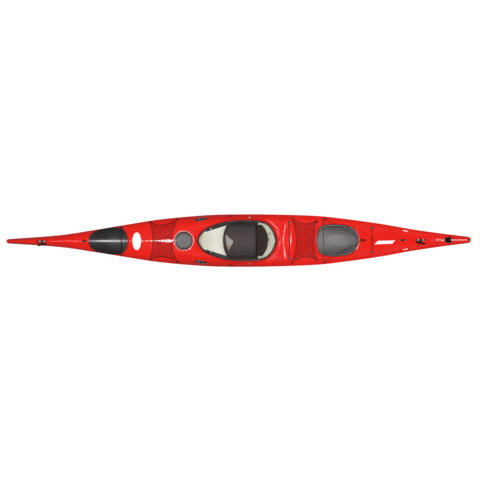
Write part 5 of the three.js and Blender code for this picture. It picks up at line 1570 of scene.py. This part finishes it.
@dataclass
class CarryHandle:
    """A carrying handle: bolted bracket with a bar, webbing link and moulded grip."""

    name: str
    place: Point3
    reach: float
    yaw: float
    drop: float
    bolts: tuple[float, float]
    length: float = 0.098
    width: float = 0.022
    height_mm: float = 15.0
    slot: float = 0.027
    base_mm: float = 3.0
    bar: float = 0.006
    sleeve: float = 0.011
    web: float = 0.014
    web_half: float = 0.0007
    web_gap: float = 0.0042
    grip_length_mm: float = 100.0
    grip_radius_mm: float = 9.8

    def build(self) -> None:
        """Make the bracket, bar, bolts, link and grip."""
        x, _, z = self.place
        half, end, h = self.slot / 2, (self.length - self.slot) / 2, self.height_mm
        pieces = [bar_block(f"{self.name}_base", (x, 0), (self.length, self.width),
                            [(0, self.base_mm * 0.6), (0.8, self.base_mm)], deck_surface)]
        for side in (-1, 1):
            middle, straight = x + side * (half + end / 2), (end - self.width) / 2
            block = placed(rounded_box(end, self.width * 0.94, 0.0085), middle, 0)
            pieces.append(raised("lug", block, [(0, h * 0.62), (0.8, h * 0.8), (2.6, h * 0.94), (5, h * 0.98)],
                                 BLACK_NYLON, smooth_deck, ((0, 0.2),), (middle - straight, middle + straight)))
        settle(merge(f"{self.name}_mount", pieces), f"{self.name}_bracket")
        ends = np.array([(x - half - 0.004, 0, z), (x + half + 0.004, 0, z)])
        settle(tube(f"{self.name}_bar", spaced(ends, 8, False), self.bar, STEEL, 16))
        washer = [(0, -1), (8.8, -1), (8.8, 0.6), (8.2, 1.2), (0, 1.2)]
        for k, bolt_x in enumerate(self.bolts):
            top = float(smooth_deck(bolt_x, 0)) + h * 0.98 * MM
            bolt(f"{self.name}_washer_{k}", washer, (bolt_x, 0, top), 0.001, 6.8, 32)
        self.swinging()

    def swinging(self) -> None:
        """Make the link and the grip where they rest, turned down to port."""
        hinge, fall = np.array([self.place[0], 0, self.place[2]]), radians(self.drop)
        out, up = np.array([0, -cos(fall), -sin(fall)]), np.array([0, -sin(fall), cos(fall)])
        around = [hinge + (out * cos(a) + up * sin(a)) * self.sleeve / 2 * 0.9
                  for a in np.linspace(radians(70), radians(290), 15)]
        upper, lower = ([hinge + out * t + up * side * (self.web_gap * (1 - t / self.reach) + 0.0008)
                         for t in np.linspace(0.006, self.reach, 8)] for side in (1, -1))
        loop = np.array([*upper[::-1], *around, *lower])
        ahead = np.gradient(loop, axis=0)
        ahead /= np.linalg.norm(ahead, axis=1, keepdims=True)
        normal = np.cross([1.0, 0, 0], ahead)
        half, thick = self.web / 2, self.web_half
        section = [(-half, -thick), (half, -thick), (half, thick), (-half, thick)]
        points = np.array([p + np.array([a, 0, 0]) + n * b for p, n in zip(loop, normal) for a, b in section])
        settle(add_mesh(f"{self.name}_webbing", points, ring_faces(len(loop), 4, capped=True), WEBBING),
               f"{self.name}_link", body=self.name)
        turn = radians(self.yaw)
        along = np.array([cos(turn), 0, 0]) - out * sin(turn)
        end = [(0, 0.5), (0.55, 0.5), (0.72, 0.49), (0.84, 0.47), (0.92, 0.44), (0.96, 0.40), (0.98, 0.36),
               (0.90, 0.35), (0.90, 0.34), (0.98, 0.33), (1.0, 0.2), (0.985, 0.08)]
        shape = [(radius, -t) for radius, t in end] + end[::-1]
        settle(turned(f"{self.name}_handgrip",
                      [(radius * self.grip_radius_mm, t * self.grip_length_mm) for radius, t in shape],
                      hinge + out * self.reach, BLACK_NYLON, 28, [np.cross(up, along), up, along], 50),
               f"{self.name}_grip", body=self.name)


NETS = (DeckNet("front_net", "front_deck_net", (-0.988, 0.2045), (-0.680, 0.2405), (0.033, 0.069), (0.0355, 0.0418)),
        DeckNet("rear_net", "rear_deck_net", (0.588, 0.2460), (0.862, 0.2170), (0.051, 0.032), (0.0323, 0.0474)))
PARKS = (PaddlePark("fore_park", "fore_paddle_park", 0.561, 0.2035),
         PaddlePark("aft_park", "aft_paddle_park", 1.480, 0.133))


def carry_handles(places: dict[str, Point3]) -> list[CarryHandle]:
    """The two carrying handles, hung at their joints.

    Args:
        places: Place of each hinge by its joint's name.

    Returns:
        The bow and the stern handle.
    """
    return [CarryHandle("bow_handle", places["bow_handle_swing"], 0.041, 12.0, 16.26, (-2.2125, -2.1585)),
            CarryHandle("stern_handle", places["stern_handle_swing"], 0.033, -12.0, 0.79, (1.9895, 2.0475))]


# ---------------------------------------------------------------- fittings along the sides and at the stern


@dataclass
class SideFittings:
    """Slotted side plates, small sheer fittings, seat bolts and the little screws along the deck's edge."""

    plate: Point2 = (0.159, 0.033)
    plate_yaw: float = 8.4
    sheer_lug: Point2 = (0.030, 0.018)
    screws: tuple[Point3, ...] = ((0.455, 0.227, 4.8), (-0.002, 0.256, 4.0), (0.228, 0.258, 4.5))

    def leaf(self, length: float, width: float, count: int = 22) -> np.ndarray:
        """Draw a leaf form with narrow ends, anticlockwise about the origin."""
        along = -np.cos(np.linspace(0, pi, count))
        half = width / 2 * np.maximum(1 - np.abs(along) ** 2.6, 0.08)
        lower = np.column_stack([along * length / 2, -half])
        return np.vstack([lower, lower[::-1] * [1, -1]])

    def slotted_plate(self, side: int, word: str) -> None:
        """Make one grey plate with a raised edge and, in its three slots, black forms that paint the shade inside them.

        Args:
            side: 1 for starboard, -1 for port.
            word: The side's name.
        """
        x, y, _, _ = node_plan(f"side_slot_plate_{word}")
        yaw = side * self.plate_yaw
        body = raised(f"side_plate_{word}", placed(self.leaf(*self.plate), x, y, yaw),
                      [(0, 2.2), (0.8, 3.6), (2.6, 4.0), (4.4, 3.4), (5.2, 2.6)], GREY_NYLON, deck_surface,
                      crown=flat_at(0))
        settle(body, f"side_slot_plate_{word}")
        pitch = self.plate[0] / 3.4
        # Black forms in the slots: painted shade for the dark inside the openings
        for k in (-1, 0, 1):
            at = (x + k * pitch * cos(radians(yaw)), y + k * pitch * sin(radians(yaw)))
            slot = placed(self.leaf(pitch * 0.88, 0.0205 if k == 0 else 0.0165, 12), *at, yaw)
            settle(raised(f"side_plate_slot_{word}_{k + 2}", slot, [(0, 3.0), (0.6, 3.4), (1.6, 3.4), (2.6, 2.9)],
                          BLACK_NYLON, deck_surface, ((0, 1.6),), crown=flat_at(0)))

    def build(self) -> None:
        """Make the fittings of both sides."""
        for side, word in SIDES:
            self.slotted_plate(side, word)
            x, y, _, _ = node_plan(f"sheer_fitting_{word}")
            settle(bar_block(f"sheer_lug_{word}", (x, y - side * 0.001), self.sheer_lug, [(0, 5), (1, 7.2), (3, 8.6)],
                             deck_surface, count=32, yaw=-side * 2, rise=0.0004), f"sheer_fitting_{word}")
            x, y, _, _ = node_plan(f"seat_bolt_{word}")
            bolt(f"seat_bolt_washer_{word}", [(0, 0), (13.8, 0), (14, 0.8), (13.2, 1.8), (9.5, 2.4), (0, 2.4)],
                 on_deck(x, y), 0.0022, 7.8, 40, f"seat_bolt_{word}", axes=deck_axes(x, y))
            for k, (x, y, radius) in enumerate(self.screws):
                at, axes = on_deck(x, side * y), deck_axes(x, side * y)
                settle(screw_head(f"deck_screw_{word}_{k + 1}", at, radius, axes))
                if k == 0:
                    settle(turned(f"screw_cup_{word}", [(0, 0), (9.2, 0), (8.5, 1.2), (5, 1.6), (0, 1.6)], at,
                                  BLACK_NYLON, 28, axes))


@dataclass
class SternFittings:
    """Everything aft of the rear hatch: small fitting, line exits, park block, its cords and the stern post."""

    cord: float = 0.004
    cord_lift: float = 0.0026
    exit_size: Point2 = (0.060, 0.0110)
    exit_yaw: float = 12.0
    block_half: float = 0.0328

    def deck_plate(self) -> None:
        """Make the narrow fitting with two screws."""
        x, _, length, _ = node_plan("aft_deck_fitting")
        settle(bar_block("aft_deck_plate", (x, 0), (length, 0.019), [(0, 3.4), (0.9, 5.2), (3, 6)], smooth_deck),
               "aft_deck_fitting")
        for k, step in enumerate((-0.024, 0.024)):
            z = float(LINES.ridge_z(x + step)) + 0.0052
            settle(screw_head(f"aft_plate_screw_{k + 1}", (x + step, 0, z), 5.2))

    def line_exit(self, side: int, word: str) -> None:
        """Make one moulded blister that a rudder line leaves through.

        Args:
            side: 1 for starboard, -1 for port.
            word: The side's name.
        """
        x, y, _, _ = node_plan(f"line_exit_{word}")
        yaw = -side * self.exit_yaw
        # The blisters' pale colour is partly painted highlight
        blister = bar_block(f"line_blister_{word}", (x, y), self.exit_size, [(0, 0.4), (1.2, 2.2), (3, 4.2)],
                            deck_surface, BLISTER_HIGHLIGHT_NYLON, 40, yaw, 0.0016, ((0, -1.2),), 80)
        settle(blister, f"line_exit_{word}")
        x, y, z = on_deck(x + 0.0285 * cos(radians(yaw)), y + 0.0285 * sin(radians(yaw)), 0.0022)
        bush = np.array([(x - 0.004, y, z), (x + 0.004, y - 0.0008 * side, z - 0.0008)])
        settle(tube(f"line_bush_{word}", spaced(bush, 4, False), 0.0056, BLACK_NYLON, 14))

    def park_block(self) -> None:
        """Make the block that the raised rudder blade lies in: three lobes with a pointed fore end."""
        x, _, length, _ = node_plan("rudder_park_block")
        half = self.block_half
        shape = [(length * a, -half * b) for a, b in ((-0.5, 0), (-0.42, 0.42), (-0.3, 0.74), (-0.1, 0.98), (0.2, 1),
                                                      (0.46, 1), (0.5, 0.86))]
        outline = smooth_line(shape + [(a, -b) for a, b in shape[1:][::-1]], 64, closed=True)

        def lobes(a: np.ndarray, b: np.ndarray) -> np.ndarray:
            wave = 0.5 + 0.5 * np.cos(b / half * 2.94 * pi)
            return 0.0052 * wave - 0.0015 * (np.abs(b) / half)

        settle(raised("rudder_rest", placed(outline, x, 0), [(0, 10.5), (1, 13.8), (3.2, 16.2)], BLACK_NYLON,
                      smooth_deck, spine=(x - 0.012, x + 0.03), crown=lobes, inner=14, crease=60), "rudder_park_block")

    def post(self) -> None:
        """Make the black post that fills the stern slot and carries a rudder."""
        x, _, length, width = node_plan("stern_post")
        low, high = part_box("stern_post")
        rise = (high[2] - low[2]) / MM
        settle(bar_block("rudder_post", (x, 0), (length, width), [(0, 2), (0, rise - 2), (1.2, rise - 0.4), (2, rise)],
                         flat_at(low[2]), count=28, under=((0, 1.2), (1.2, 0))), "stern_post")
        settle(screw_head("rudder_post_cap", (x + (length - width) / 2, 0, high[2] - 0.0006), 5))

    def cords(self) -> None:
        """Make the thin park cord with its knot and eye, and the loop behind the block."""
        low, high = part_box("rudder_park_block")

        def run(start: float, points: Sequence[Point2], count: int) -> np.ndarray:
            return over(smooth_line(np.array(points) * MM + [start, 0], count), smooth_deck, self.cord_lift)

        line = run(low[0], [(-96.6, -36.4), (-66, -14.6), (-36.6, 5.2), (-18.6, 6.5), (-4.6, 0)], 40)
        r = self.cord / MM
        ball = [(0, -r)] + [(r * sin(a), -r * cos(a)) for a in np.linspace(0.3, pi - 0.3, 8)] + [(0, r)]
        pieces = [tube("park_line", line, self.cord, SHOCK_CORD),
                  turned("knot", ball, line[0] + [0, 0, 0.002], SHOCK_CORD, 16)]
        settle(merge("park_line", pieces), "rudder_park_cord")
        loop = run(high[0], [(0.6, 10.4), (24.6, 13), (48.6, 10.4), (60.6, 0), (48.6, -10.4), (24.6, -13),
                             (0.6, -10.4)], 60)
        settle(tube("park_loop", loop, self.cord, SHOCK_CORD), "rudder_park_loop")
        x = high[0] + 0.0606
        settle(screw_head("loop_screw", (x + 0.001, 0, float(LINES.ridge_z(x)) + 0.003), 5.2))

    def build(self) -> None:
        """Make all the stern fittings."""
        self.deck_plate()
        for side, word in SIDES:
            self.line_exit(side, word)
        self.park_block()
        self.post()
        self.cords()


@dataclass(frozen=True)
class BlankDecal:
    """A thin film of white vinyl with nothing printed on it."""

    name: str
    corners: tuple[Point2, ...]
    rounded: bool
    rise: float = 0.0006

    def build(self) -> None:
        """Lay the film on the deck."""
        corners = np.array(self.corners)
        outline = smooth_line(corners, 56, closed=True) if self.rounded else spaced(corners, 60, True)
        middle = outline.mean(axis=0)
        rings = []
        for share, rise in ((1.0, -0.0004), (0.998, 0.0005), *((k, self.rise) for k in (0.85, 0.7, 0.5, 0.3, 0.12, 0))):
            rings.append(over(middle + (outline - middle) * share, smooth_deck, rise))
        settle(add_mesh(self.name, np.vstack(rings), ring_faces(len(rings), len(outline)), VINYL, 60))


DECALS = (
    BlankDecal("oval_film", tuple((-1.135 + 0.0465 * cos(a), -0.004 - 0.099 * sin(a))
                                  for a in np.linspace(0, 2 * pi, 17)[:-1]), True),
    BlankDecal("slanted_film", ((1.509, -0.045), (1.704, -0.039), (1.735, -0.004), (1.545, -0.007)), False))


# ---------------------------------------------------------------- inside the cockpit


def swell(obj: Object, voxel: float, pressure: float, cap: float) -> None:
    """Puff a cushion with a short cloth run, no point moving further than a cap.

    Args:
        obj: The closed cushion.
        voxel: Size of the remesh, in metres.
        pressure: Pressure inside.
        cap: How far a point may move, in metres.
    """
    scene = bpy.context.scene
    remesh = obj.modifiers.new("even mesh", "REMESH")
    remesh.mode, remesh.voxel_size, remesh.use_smooth_shade = "VOXEL", voxel, True
    apply_modifiers(obj)
    before = np.empty(len(obj.data.vertices) * 3)
    obj.data.vertices.foreach_get("co", before)
    cloth = obj.modifiers.new("filling", "CLOTH").settings
    cloth.use_pressure, cloth.uniform_pressure_force, cloth.quality = True, pressure, 4
    cloth.effector_weights.gravity = 0.0
    for frame in range(1, 13):
        scene.frame_set(frame)
    apply_modifiers(obj)
    scene.frame_set(1)
    after = np.empty_like(before)
    obj.data.vertices.foreach_get("co", after)
    move = np.nan_to_num((after - before).reshape(-1, 3))
    far = np.linalg.norm(move, axis=1, keepdims=True)
    move *= np.minimum(1.0, cap / np.maximum(far, 1e-9))
    obj.data.vertices.foreach_set("co", before + move.ravel())
    smooth = obj.modifiers.new("even skin", "SMOOTH")
    smooth.factor, smooth.iterations = 0.5, 4
    finer = obj.modifiers.new("finer", "SUBSURF")
    finer.levels = finer.render_levels = 1
    apply_modifiers(obj)
    obj.data.polygons.foreach_set("use_smooth", [True] * len(obj.data.polygons))


@dataclass
class Seat:
    """The seat: moulded pan, padded cover with a light inset and a plain red loop, and hip plates."""

    fore: float = -0.180
    aft: float = 0.210
    half: float = 0.184
    lift: float = 0.022
    side: float = 0.062
    wall: float = 0.004
    front_curve: float = 0.055
    pad: float = 0.034
    seam: float = 0.112
    across: tuple[float, ...] = (0, 0.5, 0.66, 0.8, 0.9, 0.955, 0.985, 1, 1)
    up: tuple[float, ...] = (0, 0, 0.02, 0.09, 0.24, 0.42, 0.62, 0.85, 1)
    inset: tuple[Point2, ...] = ((-0.150, 0.02), (-0.143, -0.045), (-0.130, -0.088), (-0.115, -0.112), (-0.086, -0.062),
                                 (-0.063, -0.013), (-0.105, 0.034), (-0.149, 0.070))

    def pan_z(self, y: np.ndarray) -> np.ndarray:
        """Height of the pan's inside."""
        share = np.abs(y) / (self.half - self.wall)
        return self.lift + self.wall + self.side * 0.98 * np.interp(share, self.across[:-1], self.up[:-1])

    def pan(self) -> Object:
        """Make the pan: a bowed shell whose sides drop towards the front, with a rolled edge."""
        x, y = np.meshgrid(np.linspace(self.fore, self.aft, 40), np.linspace(-1, 1, 61) * self.half, indexing="ij")
        x = x + self.front_curve * 0.9 * (y / self.half) ** 2 * (self.aft - x) / (self.aft - self.fore)
        rise = np.interp(x, [self.fore, self.aft - 0.13, self.aft], [0.46, 1.0, 1.0]) * self.side
        share = np.abs(y) / self.half
        outside = self.lift + np.minimum(np.interp(share, self.across, self.up) * self.side, rise)
        inside = outside + self.wall * np.where(share > 0.99, 0.25, 1.0)
        return closed_sheet("seat_pan", np.stack([x, y, inside], axis=2), np.stack([x, y, outside], axis=2),
                            BLACK_NYLON)

    def pad_surface(self, along: np.ndarray, across: np.ndarray) -> np.ndarray:
        """Points of the pad's top at shares along and across it."""
        half = self.half * 0.955
        y = half * (across * 2 - 1)
        front = self.fore + self.front_curve * (y / half) ** 2
        x = front + (self.aft - 0.012 - front) * along
        edge = np.minimum(1 - np.abs(along * 2 - 1) ** 8, 1 - np.abs(across * 2 - 1) ** 8)
        crown = 0.34 + 0.66 * np.clip(edge, 0, 1) ** 0.7
        dish = 0.006 * np.exp(-(((x - 0.08) / 0.09) ** 2)) * np.exp(-((np.abs(y) - 0.075) / 0.05) ** 2)
        seam = sum(0.0032 * np.exp(-((y - place) / 0.004) ** 2) for place in (-self.seam, self.seam))
        seam = seam + 0.0028 * np.exp(-((x - 0.03 - 0.25 * y**2) / 0.004) ** 2) * (np.abs(y) < self.seam)
        z = self.pan_z(y) + 0.0006 + self.pad * 0.86 * crown - dish - seam * (crown > 0.9)
        return np.stack([x, y, z], axis=-1)

    def top(self, x: np.ndarray, y: np.ndarray) -> np.ndarray:
        """Height of the pad's top over plan points."""
        share = y / (self.half * 0.955)
        front = self.fore + self.front_curve * share**2
        along = (x - front) / (self.aft - 0.012 - front)
        return self.pad_surface(np.clip(along, 0, 1), np.clip((share + 1) / 2, 0, 1))[..., 2]

    def cover(self) -> None:
        """Make the padded cover, swollen a little by its foam."""
        upper = self.pad_surface(*np.meshgrid(np.linspace(0, 1, 60), np.linspace(0, 1, 58), indexing="ij"))
        lower = upper.copy()
        lower[..., 2] = self.pan_z(upper[..., 1]) + 0.0012
        pad = closed_sheet("seat_cushion", upper, lower, SEAT_CLOTH)
        swell(pad, 0.005, 2.5, 0.004)
        settle(pad, "seat_pad")

    def trim(self) -> None:
        """Make the piping round the cover, its seam threads, the light inset and the red loop."""
        shares = np.array([*((0.012, t) for t in np.linspace(0.02, 0.98, 40)),
                           *((t, 0.985) for t in np.linspace(0.03, 0.97, 40)),
                           *((0.985, t) for t in np.linspace(0.98, 0.02, 40)),
                           *((t, 0.015) for t in np.linspace(0.97, 0.03, 40))])
        line = self.pad_surface(*shares.T) + [0, 0, 0.002]
        settle(tube("seat_piping", smooth_line(line, 200, True), 0.0052, BAND_CLOTH, 8, True))
        outline = smooth_line(self.inset, 80, True)
        settle(raised("seat_inset", outline, [(0, 3), (2, 5.2), (5, 6)], INSET_CLOTH, self.top, ((0, -1),),
                      crown=flat_at(0.0008), inner=8))
        settle(tube("seat_inset_binding", over(outline, self.top, 0.0045), 0.0062, BAND_CLOTH, 8, True))
        tag = placed(rounded_box(0.020, 0.011, 0.002), -0.121, -0.067, -28)
        settle(raised("seat_tag", tag, [(0, 7.8), (0.8, 8.8)], RED_TAG, self.top, ((0, 6.8),), crown=flat_at(0)))
        x = np.linspace(-0.125, 0.17, 50)
        for side, word in SIDES[::-1]:
            line = over(np.column_stack([x, np.full(50, side * self.seam)]), self.top, 0.0012)
            settle(tube(f"seat_thread_{word}", line, 0.0018, THREAD, 6))

    def hip_plate(self, side: int, word: str) -> None:
        """Make the padded plate beside one hip, from the pan up to under the rim.

        Args:
            side: 1 for starboard, -1 for port.
            word: The side's name.
        """
        x, up = np.meshgrid(np.linspace(-0.135, 0.212, 40), np.linspace(0, 1, 22), indexing="ij")
        ends = np.clip(np.minimum((x + 0.135) / 0.03, (0.212 - x) / 0.03), 0, 1)
        room = np.minimum(0.232, LINES.half_beam(x) - 0.058)
        out = 0.1765 + (room - 0.1765) * np.interp(up, [0, 0.3, 0.7, 1.0], [0.0, 0.25, 0.66, 1.0])
        along = np.abs((x - 0.0385) / 0.1735)
        z = 0.082 + (LINES.plain_deck(x, out) - 0.017 - 0.082) * up * (0.5 + 0.5 * np.sqrt(1 - along**4 * 0.98))
        thick = 0.003 + 0.006 * np.sqrt(ends) * (1 - np.abs(up * 2 - 1) ** 5)
        plate = closed_sheet(f"hip_pad_{word}", np.stack([x, side * (out - thick), z], axis=2),
                             np.stack([x, side * out, z], axis=2), BAND_CLOTH)
        settle(plate)

    def build(self) -> None:
        """Make the pan, the cover with its trim and both hip plates."""
        settle(self.pan(), "seat_shell")
        self.cover()
        self.trim()
        for side, word in SIDES:
            self.hip_plate(side, word)


@dataclass
class Backrest:
    """The tilting backrest: moulded shell on its hinge rod, sewn pad in three channels and a buckle behind."""

    hinge: Point3 = (0.202, 0.0, 0.072)
    lean: float = 34.0
    height: float = 0.215
    width: float = 0.350
    curve: float = 0.055
    rod: float = 0.008
    shell: float = 0.004
    thickness: float = 0.026
    body: str = "backrest"

    def point(self, forward: np.ndarray | float, y: np.ndarray, up: np.ndarray | float) -> np.ndarray:
        """Place a point given as forward, across and up along the lean."""
        lean = radians(self.lean)
        curved = forward + self.curve * (y / (self.width / 2)) ** 2
        return np.stack([self.hinge[0] - curved * cos(lean) + up * sin(lean), y,
                         self.hinge[2] + curved * sin(lean) + up * cos(lean)], axis=-1)

    def span(self, across: np.ndarray) -> tuple[np.ndarray, np.ndarray]:
        """Lower and upper edge of the backrest at shares across."""
        side = np.abs(across * 2 - 1) ** 3
        return self.rod * 2 + self.height * 0.4 * side, self.height * (1 - 0.2 * side)

    def layer(self, name: str, back: float, front: Heights, finish: Finish, inset: float = 0.0) -> Object:
        """Make one layer between two depths.

        Args:
            name: Name of the piece.
            back: Depth of its back.
            front: Depth of its front at shares along and across.
            finish: Its finish.
            inset: How far its edge stays inside the backrest's outline, in shares.

        Returns:
            The layer.
        """
        along, across = np.meshgrid(np.linspace(0, 1, 44), np.linspace(inset, 1 - inset, 60), indexing="ij")
        low, high = self.span(across)
        up = low + (high - low) * (inset + along * (1 - 2 * inset))
        y = self.width * (across - 0.5)
        return closed_sheet(name, self.point(front(along, across), y, up), self.point(back, y, up), finish)

    def plate(self) -> None:
        """Make the moulded plate with the sleeve on the rod and the stem between them."""
        x, _, z = self.hinge
        half, long = self.shell / 2, self.width / 4
        rod, end = self.rod / MM, self.width / 2 / MM
        bore = rod / 2 + 0.4
        ring = [(bore, 0), (rod - 0.5, 0), (rod, 0.8), (rod, end - 0.8), (rod - 0.5, end), (bore, end)]
        lean = radians(self.lean)
        up, fore = np.array([sin(lean), 0, cos(lean)]), np.array([-cos(lean), 0, sin(lean)])
        web = [np.array([x, b * long * 0.96, z]) + up * self.rod * rise + fore * thick * MM * a
               for rise, thick in ((0.8, 2.6), (1.6, 2.0), (2.6, 1.8)) for a, b in ((-1, -1), (1, -1), (1, 1), (-1, 1))]
        axes = [(1, 0, 0), (0, 0, 1), (0, 1, 0)]
        pieces = [self.layer("backrest_plate", -half, flat_at(half), BLACK_NYLON),
                  turned("sleeve", ring, (x, -long, z), BLACK_NYLON, 28, axes, closed=True),
                  add_mesh("stem", np.array(web), ring_faces(3, 4, capped=True), BLACK_NYLON)]
        settle(merge("backrest_plate", pieces), "backrest_shell", body=self.body)

    def front(self, along: np.ndarray, across: np.ndarray) -> np.ndarray:
        """Depth of the pad's front at shares along and across, with two sewn channels."""
        edge = np.minimum(1 - np.abs(along * 2 - 1) ** 6, 1 - np.abs(across * 2 - 1) ** 8)
        channels = sum(0.004 * np.exp(-((along - place) / 0.03) ** 2) for place in (0.36, 0.68))
        return 0.0026 + (self.thickness - 0.006) * (0.2 + 0.8 * np.clip(edge, 0, 1) ** 0.8) - channels * edge

    def build(self) -> None:
        """Make the shell, the pad, its piping, the buckle and the hook behind it."""
        self.plate()
        pad = self.layer("backrest_cushion", 0.0030, self.front, BAND_CLOTH, 0.006)
        swell(pad, 0.005, 2.0, 0.003)
        settle(pad, "backrest_pad", body=self.body)
        across = np.linspace(0.02, 0.98, 90)
        low, high = self.span(across)
        for word, share in (("upper", 0.985), ("lower", 0.02)):
            line = self.point(0.0062, self.width * (across - 0.5), low + (high - low) * share)
            settle(tube(f"backrest_piping_{word}", line, 0.005, THREAD, 8), body=self.body)
        x, y, z = self.point(-0.006, np.array(0.015), self.height * 0.93)
        settle(raised("backrest_buckle", placed(rounded_box(0.024, 0.042, 0.010), x + 0.012, y),
                      [(0, 3), (1.2, 4.8), (3, 5.2)], STEEL, lambda a, b: z - 0.010 - 0.35 * (a - x), ((0, 0),),
                      crown=flat_at(0)), body=self.body)
        hook = np.array([(-4, 66, -6), (12, 78, -8), (28, 80, -20), (24, 70, -32)]) * MM + [x, 0, z]
        settle(tube("backrest_hook", smooth_line(hook, 30), 0.006, BLACK_NYLON), body=self.body)


@dataclass
class ThighBraces:
    """The black braces under the rim that the thighs press against, each with a steel bolt."""

    under: float = 0.0112
    top: float = 0.0062
    inner: tuple[Point2, ...] = ((-0.372, 0.100), (-0.345, 0.104), (-0.314, 0.1135), (-0.27, 0.127), (-0.225, 0.141),
                                 (-0.18, 0.155), (-0.14, 0.168), (-0.108, 0.185))
    outer: tuple[Point2, ...] = ((-0.098, 0.212), (-0.14, 0.206), (-0.2, 0.192), (-0.26, 0.176), (-0.32, 0.153),
                                 (-0.366, 0.126))
    skin: tuple[Point2, ...] = ((1, 0), (0.5, 0), (0.25, 0), (0.06, 0), (0, 0.001), (0, 0.0042), (0.03, 0.0055),
                                (0.10, 0.006), (0.3, 0.0062), (0.6, 0.0062), (0.9, 0.0062), (1, 0.0062))

    def level(self, x: np.ndarray, y: np.ndarray) -> np.ndarray:
        """Height of a brace's underside, which droops towards the cockpit."""
        inside = np.abs(y) - np.interp(x, *zip(*self.inner))
        return LINES.plain_deck(x, y) - self.under - 0.010 * smooth_step((0.045 - inside) / 0.045)

    def build(self) -> None:
        """Make both braces and their bolts."""
        for side, word in SIDES:
            outline = smooth_line([(x, side * y) for x, y in self.inner + self.outer][::side], 90, True)
            x = np.clip(outline[:, 0], -0.345, -0.125)
            spine = np.column_stack([x, side * np.interp(x, [-0.372, -0.24, -0.1], [0.112, 0.1565, 0.198])])
            rings = []
            for share, rise in self.skin:
                rings.append(over(outline + (spine - outline) * share, self.level, rise))
            pad = add_mesh(f"thigh_pad_{word}", np.vstack(rings), ring_faces(len(rings), len(outline)), BLACK_NYLON, 60)
            settle(pad, f"thigh_brace_{word}")
            x, y = -0.314, side * 0.132
            bolt(f"brace_bolt_{word}", [(0, 0), (8.5, 0), (8.5, 1.2), (0, 1.4)],
                 (x, y, float(self.level(x, y)) + 0.0058), 0.001, 6, 28)


@dataclass
class InnerFittings:
    """The solids that stay as they were packed: bulkheads, pod, hangers, rails, pedals and rod."""

    bevel: float = 0.0012
    laminate: tuple[str, ...] = ("front_bulkhead", "rear_bulkhead")
    nylon: tuple[str, ...] = ("day_hatch_pod", "seat_hanger_starboard", "seat_hanger_port", "footrest_rail_starboard",
                              "footrest_rail_port", "footrest_pedal_starboard", "footrest_pedal_port")
    steel: tuple[str, ...] = ("backrest_hinge_rod",)

    def build(self) -> None:
        """Give each kept solid its finish and eased edges."""
        for finish, nodes in ((GLASS_CLOTH, self.laminate), (BLACK_NYLON, self.nylon), (BLACKED_STEEL, self.steel)):
            for name in nodes:
                solid = bpy.data.objects[name]
                for slot in solid.material_slots:
                    slot.material = finish.material()
                ease = solid.modifiers.new("eased edges", "BEVEL")
                ease.width, ease.segments, ease.limit_method = self.bevel, 2, "ANGLE"
                log.info("%s keeps its solid", name)


def main() -> None:
    """Build every sub-assembly in order."""
    logging.basicConfig(level=logging.INFO, format="%(message)s")
    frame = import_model()
    places = {joint["name"]: tuple(joint["pos_m"]) for joint in frame["joints"] if joint.get("pos_m")}
    Studio().build()
    assemblies = [Shell(), Coaming(), FRONT_HATCH, REAR_HATCH, HatchLashings(), DayHatch(), *NETS, *PARKS,
                  *carry_handles(places), SideFittings(), SternFittings(), *DECALS, Seat(), Backrest(), ThighBraces(),
                  InnerFittings()]
    for assembly in assemblies:
        log.info("building %s", type(assembly).__name__)
        assembly.build()
    for light in ACCENTS:
        light.hang()


if __name__ == "__main__":
    main()
